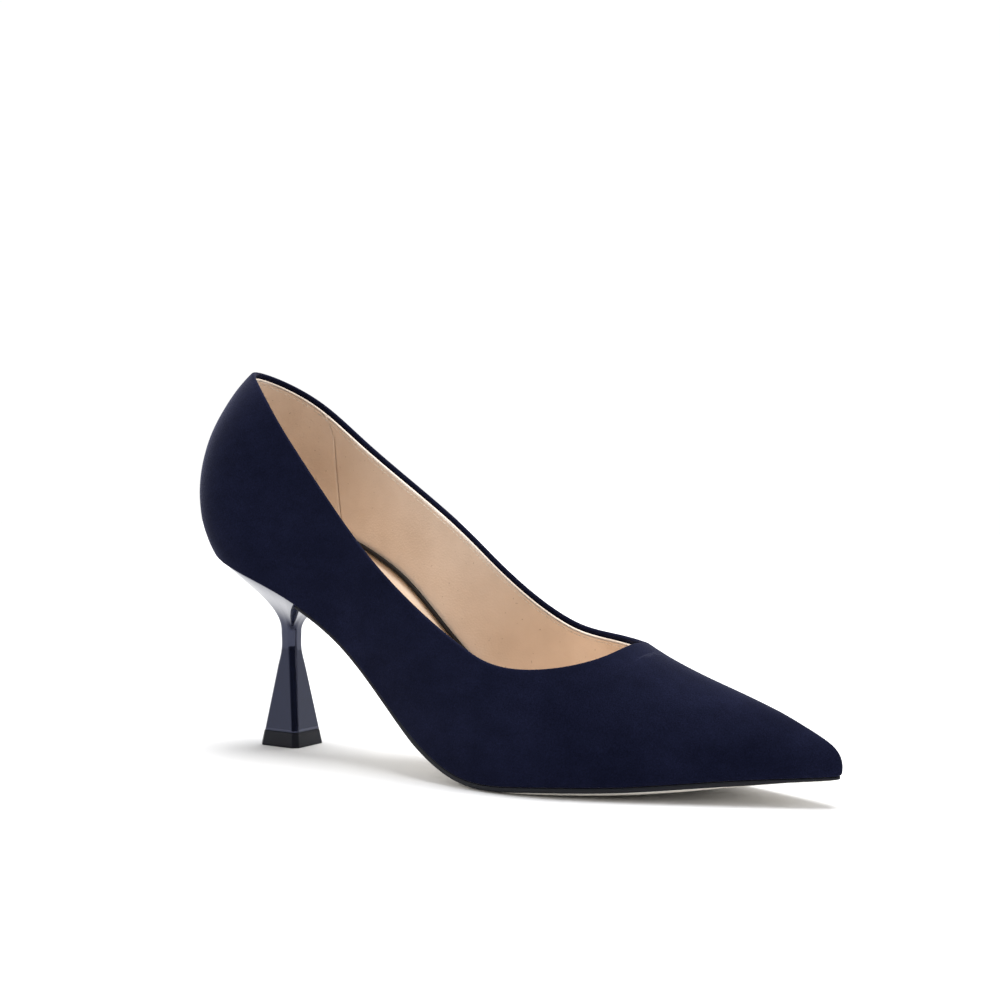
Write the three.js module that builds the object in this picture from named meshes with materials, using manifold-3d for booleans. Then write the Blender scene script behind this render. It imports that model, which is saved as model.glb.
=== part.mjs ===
// High heel pump for the right foot, European size 38, in millimetres.
// +X runs to the toe, +Y to the inner side of the foot, +Z up.
// The origin is the centre of the top piece's ground face, so the ground is Z = 0.
import * as THREE from "three";
import { mergeVertices } from "three/addons/utils/BufferGeometryUtils.js";
import Module from "manifold-3d";

const wasm = await Module();
wasm.setup();

// Driving dimensions.
const SUEDE = 1;
const STIFFENER_OUT = 1.5;
const STIFFENER_IN = 2.1;
const LINING_OUT = 2.5;
const LINING_IN = 3.3;
const FOLD_DEPTH = 5;
const FOLD_IN = 1.9;
const LINING_EDGE_DROP = 1.5;
const MARGIN = 13;
const INSOLE_LOW = 1.4;
const INSOLE_HIGH = 3.4;
const INSOLE_INSET = 1.7;
const PAD_LOW = 3.65;
const PAD_RISE = 1.5;
const SOCK_GAP = 0.3;
const SOCK_THICK = 0.9;
const SOCK_INSET = 5.2;
const SOCK_DEPTH = 3.65;
const SOCK_RISE = 1.05;
const BINDING_WIDTH = 0.9;
const BINDING_HEIGHT = 1.4;
const WALL_FOOT = 3.9;
const SOLE_GAP = -0.3;
const SOLE_EDGE = 1.7;
const SOLE_FOREPART = 2.9;
const SOLE_WAIST = 1.7;
const SOLE_BEVEL = 3.2;
const BREAST_X = 21;
const TOP_PIECE_HEIGHT = 5.2;
const HEEL_FOOT = 5.5;
const HEEL_HALF = 8.5;
const HEEL_TAPER = 0.1448;
const NECK_HALF = 3.55;
const NECK_Z = 41;
const HEEL_CHAMFER = 1.7;
const THROAT = 3.58;
const THROAT_ROUND = 0.3;
const THROAT_WIDTH = 1.35;
const SHANK_HALF = 5.5;
const SCREW_X = -2;
const RIVETS = [{ name: "rear", x: 13 }, { name: "front", x: 82 }];
const NAILS = [[-9, -6], [-9, 6], [6, -9], [6, 7]];

// Girth stations of the last from the toe tip to the back of the heel.
// x, z of the feather edge; centre y; outer and inner half width; cone line x, z and half width;
// fullness low and high; swell outer and inner; shoulder outer and inner; topline height outer and inner;
// and how much higher the arch lifts the inner feather edge.
const LAST = [
  [222, 10.5, 5, 0, 0, 214, 22.6, 0, 0.55, 0.75, 1.5, 1.5, 0, 0, 0.5, 0.62, 0],
  [214, 9.9, 5, 6.5, 6, 206, 26.4, 0, 0.55, 0.66, 1.5, 1.5, 0, 0, 0.5, 0.62, 0],
  [188, 7.9, 4, 18, 16, 185, 33.8, 0, 0.55, 0.58, 2.5, 2, 0, 0, 0.5, 0.62, 0],
  [158, 4.9, 1.5, 30, 27, 160, 42.2, 0, 0.55, 0.58, 3, 2.5, 0, 0, 0.5, 0.62, 0],
  [128, 3.2, -1, 37, 34, 137, 54, 3, 0.55, 0.62, 3, 3, 0, 0, 0.444, 0.572, 0],
  [98, 4, -2, 35, 31, 114, 72, 10, 0.55, 0.64, 2, 3.5, 0, 1, 0.417, 0.48, 1.5],
  [68, 20.5, -3, 27, 20, 90, 93, 16, 0.5, 0.64, 3, 6.5, 0, 6, 0.396, 0.491, 7],
  [40, 43, -2, 23, 19, 66, 111, 16, 0.45, 0.66, 3.5, 6.5, 0, 6, 0.418, 0.474, 9],
  [10, 59, -0.5, 25, 23, 40, 126, 14, 0.45, 0.7, 4.5, 4.5, 0, 1, 0.569, 0.523, 5.5],
  [-16, 67.4, 0, 21, 20, 18, 137, 9, 0.41, 0.7, 14.5, 10.5, 0, 0, 0.717, 0.636, 1],
  [-28, 71.5, 0, 0, 0, 3, 141, 0, 0.39, 0.68, 17, 17, 0, 0, 0.727, 0.727, 0],
].map(([x, z, c, wl, wm, rx, rz, rw, ku, kin, ol, om, sl, sm, tl, tm, arch]) => (
  { x, z, c, wl, wm, rx, rz, rw, ku, kin, ol, om, sl, sm, tl, tm, arch }
));
const HEEL_BACK = LAST.length - 1;
const LOOP = 2 * HEEL_BACK;
const TOE_CORE = new THREE.Vector3(196, 4.5, 14);
const SPINE_FRONT = 1.5;
const SPINE_REAR = 8.8;

function clamp01(value) {
  return Math.min(1, Math.max(0, value));
}

function smooth(value) {
  const s = clamp01(value);
  return s * s * (3 - 2 * s);
}

function mix(a, b, f) {
  return a + (b - a) * f;
}

// Smooth closed curve through rows of values at whole-number parameters.
function closedSpline(rows) {
  const n = rows.length;
  let slopes = rows.map((row) => row.map(() => 0));
  for (let pass = 0; pass < 60; pass += 1) {
    const last = slopes;
    slopes = rows.map((row, i) => row.map((unused, c) => {
      const next = (i + 1) % n;
      const prev = (i + n - 1) % n;
      return (3 * (rows[next][c] - rows[prev][c]) - last[next][c] - last[prev][c]) / 4;
    }));
  }
  return (u) => {
    const w = ((u % n) + n) % n;
    const i = Math.floor(w);
    const t = w - i;
    const j = (i + 1) % n;
    const a = 2 * t ** 3 - 3 * t ** 2 + 1;
    const b = t ** 3 - 2 * t ** 2 + t;
    const c = t ** 3 - t ** 2;
    return rows[i].map((value, k) => a * value + b * slopes[i][k] + (1 - a) * rows[j][k] + c * slopes[j][k]);
  };
}

function bothSides(outer, inner) {
  return [...LAST.map(outer), ...LAST.slice(1, -1).reverse().map(inner)];
}

const feather = closedSpline(bothSides(
  (s) => [s.x, s.c - s.wl, s.z],
  (s) => [s.x, s.c + s.wm, s.z + s.arch],
));
const cone = closedSpline(bothSides((s) => [s.rx, s.c, s.rz, -s.rw], (s) => [s.rx, s.c, s.rz, s.rw]));
const form = closedSpline(bothSides(
  (s) => [s.ku, s.kin, s.ol, s.sl, s.tl],
  (s) => [s.ku, s.kin, s.om, s.sm, s.tm],
));

// Distance from the toe round either side of the last, 0 at the toe and 10 at the heel.
function sideOf(u) {
  const w = ((u % LOOP) + LOOP) % LOOP;
  return Math.min(w, LOOP - w);
}

function isVamp(u) {
  return sideOf(u) <= THROAT + 1e-9;
}

// Fraction of the girth curve at which the topline cuts it.
function topHeight(u) {
  if (isVamp(u)) {
    return 1;
  }
  const rise = Math.sin((Math.PI / 2) * clamp01((sideOf(u) - THROAT) / THROAT_WIDTH)) ** THROAT_ROUND;
  return 1 - rise * (1 - form(u)[4]);
}

// Point of the last's outer skin at girth u and height t.
function skin(u, t) {
  const v = sideOf(u);
  const f = feather(u);
  const [rx, ry, rz, rw] = cone(u);
  const [ku, kin, swell, shoulder] = form(u);
  const r = [rx, ry + rw * smooth((v - THROAT) / 0.8), rz];
  const ahead = feather(u + 0.001);
  const behind = feather(u - 0.001);
  const out = new THREE.Vector2(behind[1] - ahead[1], ahead[0] - behind[0]).normalize();
  const lean = v < 1 ? 1 - v : smooth((v - THROAT) / 1.2);
  const low = [f[0] + out.x * swell, f[1] + out.y * swell, f[2] + (r[2] - f[2]) * ku];
  const high = [
    r[0] + (f[0] - r[0]) * lean * kin + out.x * shoulder,
    r[1] + (f[1] - r[1]) * kin + out.y * shoulder,
    r[2] - 2.2 * clamp01(1 - v / 1.5),
  ];
  const s = 1 - t;
  const at = (k) => f[k] * s ** 3 + 3 * low[k] * t * s ** 2 + 3 * high[k] * t ** 2 * s + r[k] * t ** 3;
  return new THREE.Vector3(at(0), at(1), at(2));
}

// Unit vector into the shoe from its outer skin.
function inward(u, t) {
  const v = sideOf(u);
  const here = skin(u, t);
  let way;
  if (isVamp(u) && t > 0.995) {
    const near = cone(Math.max(v, 0.15) - 0.01);
    const far = cone(Math.max(v, 0.15) + 0.01);
    way = new THREE.Vector3(near[2] - far[2], 0, far[0] - near[0]).normalize();
  } else {
    const along = skin(u + 0.002, t).sub(skin(u - 0.002, t));
    const up = skin(u, t + 0.002).sub(skin(u, t - 0.002));
    way = along.cross(up).normalize();
  }
  const core = TOE_CORE.clone().sub(here).normalize();
  return core.lerp(way, smooth((v - 0.3) / 1.2)).normalize();
}

function layerPoint(u, t, depth) {
  return skin(u, t).addScaledVector(inward(u, t), depth);
}

// Station at which the feather edge passes x.
function stationAt(x) {
  let low = 0;
  let high = HEEL_BACK;
  for (let k = 0; k < 40; k += 1) {
    const middle = (low + high) / 2;
    if (feather(middle)[0] > x) {
      low = middle;
    } else {
      high = middle;
    }
  }
  return (low + high) / 2;
}

function edgeStation(x) {
  return stationAt(Math.min(221.9, Math.max(-27.9, x)));
}

function edgeHeight(x) {
  return feather(edgeStation(x))[2];
}

// Unit normal of the bottom's side view.
function bottomNormal(x) {
  const rise = (edgeHeight(x + 1) - edgeHeight(x - 1)) / 2;
  return new THREE.Vector3(-rise, 0, 1).normalize();
}

// Height of the lasted bottom, which banks up to the inner side at the arch.
function bottomHeight(x, y) {
  const v = edgeStation(x);
  const outer = feather(v);
  const inner = feather(LOOP - v);
  const share = clamp01((y - outer[1]) / Math.max(inner[1] - outer[1], 0.01));
  return mix(outer[2], inner[2], share);
}

function onBottom(x, y, height) {
  return new THREE.Vector3(x, y, bottomHeight(x, y)).addScaledVector(bottomNormal(x), height);
}

// Centre line of the bottom that edge insets run towards.
function spine(u) {
  const v = Math.min(SPINE_REAR, Math.max(SPINE_FRONT, sideOf(u)));
  const a = feather(v);
  const b = feather(LOOP - v);
  return new THREE.Vector2((a[0] + b[0]) / 2, (a[1] + b[1]) / 2);
}

function insetEdge(u, inset) {
  const f = feather(u);
  const edge = new THREE.Vector2(f[0], f[1]);
  const middle = spine(u);
  return edge.lerp(middle, Math.min(0.97, inset / edge.distanceTo(middle)));
}

function marginInset(u) {
  const f = feather(u);
  return Math.min(MARGIN, 0.72 * new THREE.Vector2(f[0], f[1]).distanceTo(spine(u)));
}

// Collects triangles between welded points and turns them outwards.
class Skin {
  constructor() {
    this.points = [];
    this.keys = new Map();
    this.faces = [];
  }

  index(p) {
    const key = [p.x, p.y, p.z].map((value) => Math.round(value * 2000)).join(",");
    if (!this.keys.has(key)) {
      this.keys.set(key, this.points.length);
      this.points.push(p.clone());
    }
    return this.keys.get(key);
  }

  triangle(a, b, c) {
    const [i, j, k] = [this.index(a), this.index(b), this.index(c)];
    if (i !== j && j !== k && k !== i) {
      this.faces.push(i, j, k);
    }
  }

  quad(a, b, c, d) {
    this.triangle(a, b, c);
    this.triangle(a, c, d);
  }

  geometry() {
    let volume = 0;
    for (let i = 0; i < this.faces.length; i += 3) {
      const [a, b, c] = [0, 1, 2].map((k) => this.points[this.faces[i + k]]);
      volume += a.dot(b.clone().cross(c));
    }
    const faces = volume < 0 ? this.faces.slice().reverse() : this.faces;
    const geometry = new THREE.BufferGeometry();
    const flat = this.points.flatMap((p) => [p.x, p.y, p.z]);
    geometry.setAttribute("position", new THREE.Float32BufferAttribute(flat, 3));
    geometry.setIndex(faces);
    geometry.computeVertexNormals();
    return geometry;
  }
}

// Columns of the wall: where each leaves the feather edge and where it meets the topline or ridge.
function sideColumns(side) {
  const girth = (v) => (side > 0 ? v : LOOP - v);
  const vamp = [0, 0.25, 0.5, 0.8, 1.2, 1.7, 2.3, 2.95, THROAT].map((v) => ({
    base: girth(v), top: girth(v), vamp: true,
  }));
  const steps = 400;
  const reach = HEEL_BACK - THROAT;
  const samples = [{ v: THROAT, run: 0 }];
  let last = skin(girth(THROAT), 1);
  for (let k = 1; k <= steps; k += 1) {
    const v = THROAT + reach * (k / steps) ** 2.5;
    const here = skin(girth(v), topHeight(girth(v)));
    samples.push({ v, run: samples[k - 1].run + here.distanceTo(last) });
    last = here;
  }
  const total = samples[steps].run;
  const count = 17;
  const rear = [];
  for (let j = 1; j <= count; j += 1) {
    const share = j / count;
    const wanted = total * mix(share, share ** 2, 0.25);
    const found = samples.find((sample) => sample.run >= wanted - 1e-9);
    rear.push({ base: girth(THROAT + reach * share), top: girth(found.v), vamp: false });
  }
  rear[count - 1] = { base: HEEL_BACK, top: HEEL_BACK, vamp: false };
  return [...vamp, ...rear];
}

const OUTER_SIDE = sideColumns(1);
const INNER_SIDE = sideColumns(-1);
const COLUMNS = [...OUTER_SIDE, ...INNER_SIDE.slice(1, -1).reverse()];
const ROWS = [0, 0.14, 0.3, 0.48, 0.66, 0.84];

function columnTop(column) {
  return topHeight(column.top);
}

function columnPoint(column, t, depth) {
  const u = mix(column.base, column.top, clamp01(t / columnTop(column)));
  return layerPoint(u, t, depth);
}

// Height fraction at which a layer of the column stands a given distance above the bottom.
function riseTo(column, rise, depth) {
  const f = feather(column.base);
  const normal = bottomNormal(f[0]);
  const start = new THREE.Vector3(f[0], f[1], f[2]);
  let low = 0;
  let high = columnTop(column) * 0.6;
  for (let k = 0; k < 30; k += 1) {
    const middle = (low + high) / 2;
    if (columnPoint(column, middle, depth).sub(start).dot(normal) < rise) {
      low = middle;
    } else {
      high = middle;
    }
  }
  return high;
}

function onWall(column, rise, depth) {
  return columnPoint(column, riseTo(column, rise, depth), depth);
}

// Height fraction a given distance below the topline.
function belowTop(column, distance) {
  const top = columnTop(column);
  const speed = columnPoint(column, top, 0).distanceTo(columnPoint(column, top - 0.02, 0)) / 0.02;
  return top - Math.min(distance / speed, 0.3 * top);
}

function rowHeights(column, limit) {
  const foot = riseTo(column, WALL_FOOT, 0);
  return ROWS.map((row) => mix(foot, limit, row));
}

// Closed skin round paired outer and inner points of neighbouring columns.
function shell(sections, wrap) {
  const body = new Skin();
  const count = sections.length;
  const last = wrap ? count : count - 1;
  for (let i = 0; i < last; i += 1) {
    const a = sections[i];
    const b = sections[(i + 1) % count];
    const rows = a.outer.length;
    for (let j = 0; j < rows - 1; j += 1) {
      body.quad(a.outer[j], b.outer[j], b.outer[j + 1], a.outer[j + 1]);
      body.quad(a.inner[j], a.inner[j + 1], b.inner[j + 1], b.inner[j]);
    }
    body.quad(a.inner[0], b.inner[0], b.outer[0], a.outer[0]);
    if (!(a.vamp && b.vamp)) {
      body.quad(a.outer[rows - 1], b.outer[rows - 1], b.inner[rows - 1], a.inner[rows - 1]);
    }
  }
  if (!wrap) {
    const first = sections[0];
    const end = sections[count - 1];
    for (let j = 0; j < first.outer.length - 1; j += 1) {
      body.quad(first.inner[j], first.outer[j], first.outer[j + 1], first.inner[j + 1]);
      body.quad(end.outer[j], end.inner[j], end.inner[j + 1], end.outer[j + 1]);
    }
  }
  return body.geometry();
}

// Closed skin round a layer of the bottom, with its section drawn from the spine to its edge.
function slab(girths, edgeOf, heights, wrap) {
  const body = new Skin();
  const sections = girths.map((u) => {
    const middle = spine(u);
    const edge = edgeOf(u);
    const at = ([share, height]) => {
      const p = middle.clone().lerp(edge, share);
      return onBottom(p.x, p.y, typeof height === "function" ? height(p.x, share) : height);
    };
    return heights.map(at);
  });
  const count = sections.length;
  const last = wrap ? count : count - 1;
  for (let i = 0; i < last; i += 1) {
    const a = sections[i];
    const b = sections[(i + 1) % count];
    for (let j = 0; j < heights.length - 1; j += 1) {
      body.quad(a[j], b[j], b[j + 1], a[j + 1]);
    }
  }
  if (!wrap) {
    const ends = [sections[0], sections[count - 1].slice().reverse()];
    ends.forEach((section) => {
      for (let j = 1; j < section.length - 1; j += 1) {
        body.triangle(section[0], section[j], section[j + 1]);
      }
    });
  }
  return body.geometry();
}

function sidePair(values) {
  return [...values.slice().reverse(), ...values.map((v) => LOOP - v)];
}

function range(from, to, count) {
  return Array.from({ length: count + 1 }, (unused, k) => mix(from, to, k / count));
}

const group = new THREE.Group();
group.name = "high_heel_pump";

function addMesh(name, geometry, material) {
  const mesh = new THREE.Mesh(geometry, material);
  mesh.name = name;
  group.add(mesh);
}

function finish(color, roughness, metalness) {
  return new THREE.MeshStandardMaterial({ color, roughness, metalness });
}

const suede = () => finish(0x1a1d30, 0.95, 0);
const liningLeather = () => finish(0xc4a488, 0.6, 0);
const stiffener = () => finish(0xd8d2c4, 0.85, 0);
const board = () => finish(0x9a7b58, 0.85, 0);
const foam = () => finish(0xe8dcc0, 0.9, 0);
const steel = () => finish(0x9fa3a8, 0.35, 1);
const lacquer = () => finish(0x161a2c, 0.12, 0);

// Upper: one piece of suede folded over at the topline and lasted under the insole.
function suedeUpper() {
  const sections = COLUMNS.map((column) => {
    const u = column.base;
    const inset = marginInset(u);
    const f = feather(u);
    const edge = (distance, height) => {
      const p = insetEdge(u, distance);
      return onBottom(p.x, p.y, height);
    };
    const outer = [edge(inset, 0), edge(inset / 2, 0), new THREE.Vector3(f[0], f[1], f[2])];
    const inner = [edge(inset, SUEDE), edge(inset / 2, SUEDE), edge(SUEDE, SUEDE)];
    const top = columnTop(column);
    const heights = rowHeights(column, belowTop(column, FOLD_DEPTH));
    heights.forEach((t) => {
      outer.push(columnPoint(column, t, 0));
      inner.push(columnPoint(column, t, SUEDE));
    });
    const fold = column.vamp ? SUEDE : FOLD_IN;
    const crown = column.vamp ? [0, SUEDE] : [0.45, FOLD_IN - 0.45];
    const foldFoot = belowTop(column, FOLD_DEPTH);
    const foldNext = belowTop(column, FOLD_DEPTH - 0.4);
    const brow = belowTop(column, 0.6);
    outer.push(columnPoint(column, foldFoot, 0), columnPoint(column, foldNext, 0));
    inner.push(columnPoint(column, foldFoot, SUEDE), columnPoint(column, foldNext, fold));
    outer.push(columnPoint(column, brow, 0), columnPoint(column, top, crown[0]));
    inner.push(columnPoint(column, brow, fold), columnPoint(column, top, crown[1]));
    return { outer, inner, vamp: column.vamp };
  });
  return shell(sections, true);
}

function wallSections(columns, from, to, upTo, rows) {
  return columns.map((column) => {
    const heights = rows ? rows(column) : [...rowHeights(column, belowTop(column, FOLD_DEPTH)), upTo(column)];
    return {
      outer: heights.map((t) => columnPoint(column, t, from)),
      inner: heights.map((t) => columnPoint(column, t, to)),
      vamp: column.vamp,
    };
  });
}

// The lining is cut in two: the vamp and quarters ahead of the seam, and the heel grip behind it.
const SEAM_COLUMN = 22;
const liningTop = (column) => (column.vamp ? 1 : belowTop(column, LINING_EDGE_DROP));
const vampLiningColumns = [
  ...INNER_SIDE.slice(1, SEAM_COLUMN + 1).reverse(),
  ...OUTER_SIDE.slice(0, SEAM_COLUMN + 1),
];
const seamShift = 0.02;
const shifted = (column, by) => ({ base: column.base + by, top: column.top + by, vamp: false });
const gripColumns = [
  shifted(OUTER_SIDE[SEAM_COLUMN], seamShift),
  ...OUTER_SIDE.slice(SEAM_COLUMN + 1),
  ...INNER_SIDE.slice(SEAM_COLUMN + 1, -1).reverse(),
  shifted(INNER_SIDE[SEAM_COLUMN], -seamShift),
];

addMesh("suede_upper", suedeUpper(), suede());
addMesh(
  "vamp_lining",
  shell(wallSections(vampLiningColumns, LINING_OUT, LINING_IN, liningTop), false),
  liningLeather(),
);
addMesh(
  "heel_grip_lining",
  shell(wallSections(gripColumns, LINING_OUT, LINING_IN, liningTop), false),
  liningLeather(),
);

// Toe puff, heel counter and topline tape lie between the suede and the lining.
const puffColumns = [...INNER_SIDE.slice(1, 6).reverse(), ...OUTER_SIDE.slice(0, 6)];
addMesh(
  "toe_puff",
  shell(wallSections(puffColumns, STIFFENER_OUT, STIFFENER_IN, () => 1), false),
  stiffener(),
);
const COUNTER_START = 19;
const counterColumns = [
  ...OUTER_SIDE.slice(COUNTER_START),
  ...INNER_SIDE.slice(COUNTER_START, -1).reverse(),
];
const counterRows = (column) => rowHeights(column, belowTop(column, FOLD_DEPTH));
addMesh(
  "heel_counter",
  shell(wallSections(counterColumns, STIFFENER_OUT, STIFFENER_IN, null, counterRows), false),
  stiffener(),
);
const TAPE_START = 11;
const tapeColumns = [...OUTER_SIDE.slice(TAPE_START), ...INNER_SIDE.slice(TAPE_START, -1).reverse()];
const tapeRows = (column) => [belowTop(column, FOLD_DEPTH + 3.4), belowTop(column, FOLD_DEPTH + 0.4)];
addMesh(
  "topline_tape",
  shell(wallSections(tapeColumns, STIFFENER_OUT, STIFFENER_IN, null, tapeRows), false),
  finish(0xe9e7e1, 0.8, 0),
);

// Upright turned solid from a profile of [radius, z] points, for pins, nails and their holes.
function turned(profile, x, y, sides = 16) {
  const points = profile.map(([radius, z]) => new THREE.Vector2(radius, z));
  const geometry = new THREE.LatheGeometry(points, sides);
  geometry.rotateX(Math.PI / 2);
  geometry.translate(x, y, 0);
  geometry.deleteAttribute("normal");
  geometry.deleteAttribute("uv");
  const welded = mergeVertices(geometry, 1e-3);
  const corners = welded.getIndex().array;
  const faces = [];
  for (let i = 0; i < corners.length; i += 3) {
    const [a, c, d] = corners.slice(i, i + 3);
    if (a !== c && c !== d && d !== a) {
      faces.push(a, c, d);
    }
  }
  welded.setIndex(faces);
  welded.computeVertexNormals();
  return welded;
}

function grown(profile, by) {
  const low = profile[0][1];
  const high = profile[profile.length - 1][1];
  return profile.map(([radius, z]) => [
    radius === 0 ? 0 : radius + by,
    z === low ? z - by : z === high ? z + by : z,
  ]);
}

function toManifold(geometry) {
  const mesh = new wasm.Mesh({
    numProp: 3,
    vertProperties: new Float32Array(geometry.getAttribute("position").array),
    triVerts: new Uint32Array(geometry.getIndex().array),
  });
  return new wasm.Manifold(mesh);
}

function cut(geometry, tools) {
  let solid = toManifold(geometry);
  tools.forEach((tool) => {
    solid = solid.subtract(toManifold(tool));
  });
  const mesh = solid.getMesh();
  const result = new THREE.BufferGeometry();
  result.setAttribute("position", new THREE.Float32BufferAttribute(new Float32Array(mesh.vertProperties), 3));
  result.setIndex(Array.from(mesh.triVerts));
  return result;
}

const insoleTopAt = (x, y) => onBottom(x, y, INSOLE_HIGH).z;
const screwHead = insoleTopAt(SCREW_X + 4, -3) - 0.2;
const screwProfile = [
  [0, screwHead - 19], [1.2, screwHead - 18], [1.9, screwHead - 15],
  [1.9, screwHead - 1.4], [3.1, screwHead - 1.2], [3.1, screwHead], [0, screwHead],
];
const nailProfiles = NAILS.map(([x, y]) => {
  const head = insoleTopAt(x + 2, y - 2) - 0.15;
  return [[0, head - 11], [0.8, head - 9.5], [0.8, head - 0.6], [1.6, head - 0.5], [1.6, head], [0, head]];
});
const centreY = (x) => {
  const v = stationAt(x);
  return (feather(v)[1] + feather(LOOP - v)[1]) / 2;
};
const rivetProfiles = RIVETS.map(({ x }) => {
  const low = onBottom(x, centreY(x), 0).z;
  const head = onBottom(x, centreY(x), INSOLE_HIGH).z - 0.9;
  return [[0, low + 0.7], [1.5, low + 0.7], [1.5, head - 0.6], [2.4, head - 0.5], [2.4, head], [0, head]];
});
const CLEARANCE = 0.3;
const fastenerHoles = [
  turned([...grown(screwProfile, CLEARANCE).slice(0, -1), [3.4, screwHead + 6], [0, screwHead + 6]], SCREW_X, 0),
  ...NAILS.map(([x, y], i) => {
    const profile = grown(nailProfiles[i], CLEARANCE);
    const head = profile[profile.length - 1][1];
    return turned([...profile.slice(0, -1), [1.9, head + 6], [0, head + 6]], x, y, 10);
  }),
];
const rivetHoles = RIVETS.map(({ x }, i) => {
  const profile = grown(rivetProfiles[i], CLEARANCE);
  const head = profile[profile.length - 1][1];
  const low = profile[0][1];
  return turned(
    [[0, low - 6], [1.8, low - 6], ...profile.slice(2, -1), [2.7, head + 6], [0, head + 6]],
    x, centreY(x), 12,
  );
});

// Insole board, shank and filler.
const bottomGirths = COLUMNS.map((column) => column.base);
const insoleBlank = slab(bottomGirths, (u) => insetEdge(u, INSOLE_INSET), [
  [0, INSOLE_LOW], [0.55, INSOLE_LOW], [1, INSOLE_LOW], [1, INSOLE_HIGH], [0.55, INSOLE_HIGH], [0, INSOLE_HIGH],
], true);
addMesh("insole_board", cut(insoleBlank, [...fastenerHoles, ...rivetHoles]), board());

function barAlong(from, to, half, low, high) {
  const body = new Skin();
  const stations = range(from, to, 14);
  const sections = stations.map((x) => {
    const end = Math.min(1, Math.min(x - from, to - x) / 6);
    const w = half * mix(0.6, 1, Math.sqrt(Math.max(0, end)));
    const y = centreY(x);
    return [[-w, low], [w, low], [w, high], [-w, high]].map(([dy, h]) => onBottom(x, y + dy, h));
  });
  for (let i = 0; i < sections.length - 1; i += 1) {
    for (let j = 0; j < 4; j += 1) {
      const k = (j + 1) % 4;
      body.quad(sections[i][j], sections[i][k], sections[i + 1][k], sections[i + 1][j]);
    }
  }
  const [a, b] = [sections[0], sections[sections.length - 1]];
  body.quad(a[3], a[2], a[1], a[0]);
  body.quad(b[0], b[1], b[2], b[3]);
  return body.geometry();
}

addMesh("shank", cut(barAlong(7, 88, SHANK_HALF, 0.15, 1.05), rivetHoles), steel());
RIVETS.forEach(({ name, x }, i) => {
  addMesh(`shank_rivet_${name}`, turned(rivetProfiles[i], x, centreY(x), 12), steel());
});
const fillerGirths = sidePair(range(1.3, 4.9, 20));
addMesh("forepart_filler", slab(
  fillerGirths,
  (u) => insetEdge(u, marginInset(u) + 0.6),
  [[0, 0.1], [1, 0.1], [1, 1], [0, 1]],
  false,
), finish(0x8b6f4e, 0.95, 0));

// Cushions and sock.
function padBump(x) {
  const heel = 1 - smooth((x - 6) / 26);
  const forefoot = smooth((x - 86) / 18) * (1 - smooth((x - 140) / 22));
  return Math.max(heel, forefoot);
}

const padTop = (x, share) => PAD_LOW + 0.05 + PAD_RISE * padBump(x) * (1 - share ** 2);
const sockLow = (x, share) => padTop(x, share) + SOCK_GAP;
const sockHigh = (x, share) => sockLow(x, share) + SOCK_THICK;
const PAD_SHARE = 0.7;
const padEdge = (u) => insetEdge(u, SOCK_INSET);
const padHeights = [
  [0, PAD_LOW], [0.35, PAD_LOW], [PAD_SHARE, PAD_LOW],
  [PAD_SHARE, padTop], [0.35, padTop], [0, padTop],
];
const heelPadGirths = bottomGirths.filter((u) => sideOf(u) > 7.7);
addMesh("heel_cushion_pad", slab(heelPadGirths, padEdge, padHeights, false), foam());
const ballGirths = OUTER_SIDE.map((column) => column.base).filter((u) => u > 2.9 && u < 5.3);
const forefootGirths = sidePair(ballGirths);
addMesh("forefoot_cushion_pad", slab(forefootGirths, padEdge, padHeights, false), foam());

// Height of the sock's edge, which turns up against the wall behind the toes.
function sockEdgeHeight(u) {
  const v = sideOf(u);
  const flat = PAD_LOW + 0.05 + SOCK_GAP + SOCK_THICK;
  return flat + SOCK_RISE * smooth((v - 2) / 1.5) + 0.5 * smooth((v - 7.3) / 0.6);
}

function sockLining() {
  const body = new Skin();
  const sections = COLUMNS.map((column) => {
    const middle = spine(column.base);
    const edge = insetEdge(column.base, SOCK_INSET);
    const at = (share, height) => {
      const p = middle.clone().lerp(edge, share);
      return onBottom(p.x, p.y, height(p.x, share));
    };
    const rise = sockEdgeHeight(column.base);
    return [
      at(0, sockLow), at(0.35, sockLow), at(0.7, sockLow), at(0.96, sockLow),
      onWall(column, rise - SOCK_THICK, SOCK_DEPTH), onWall(column, rise, SOCK_DEPTH),
      at(0.9, sockHigh), at(0.7, sockHigh), at(0.35, sockHigh), at(0, sockHigh),
    ];
  });
  sections.forEach((a, i) => {
    const b = sections[(i + 1) % sections.length];
    for (let j = 0; j < a.length - 1; j += 1) {
      body.quad(a[j], b[j], b[j + 1], a[j + 1]);
    }
  });
  return body.geometry();
}
addMesh("sock_lining", sockLining(), finish(0xe6cfae, 0.55, 0));

// Dark strip along the sock's edge from the ball round the heel.
function sockEdgeBinding() {
  const sections = COLUMNS.filter((column) => sideOf(column.base) > 2.2).map((column) => {
    const low = sockEdgeHeight(column.base) + 0.3;
    const face = (depth) => [onWall(column, low, depth), onWall(column, low + BINDING_HEIGHT, depth)];
    return { outer: face(SOCK_DEPTH), inner: face(SOCK_DEPTH + BINDING_WIDTH), vamp: false };
  });
  return shell(sections, false);
}
addMesh("sock_edge_binding", sockEdgeBinding(), finish(0x231c1a, 0.7, 0));

// Outsole: black edge, bevelled pale underside, flat tread where it meets the ground.
const breastStation = stationAt(BREAST_X + 0.4);
const soleHalf = [...range(0, 1.2, 5), ...range(1.2, breastStation, 32).slice(1)];
const soleGirths = [...soleHalf.slice().reverse(), ...soleHalf.slice(1).map((v) => LOOP - v)];
const soleThickness = (x) => (
  mix(SOLE_WAIST, SOLE_FOREPART, smooth((x - 60) / 35)) * (1 - 0.45 * smooth((x - 170) / 50))
);

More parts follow.
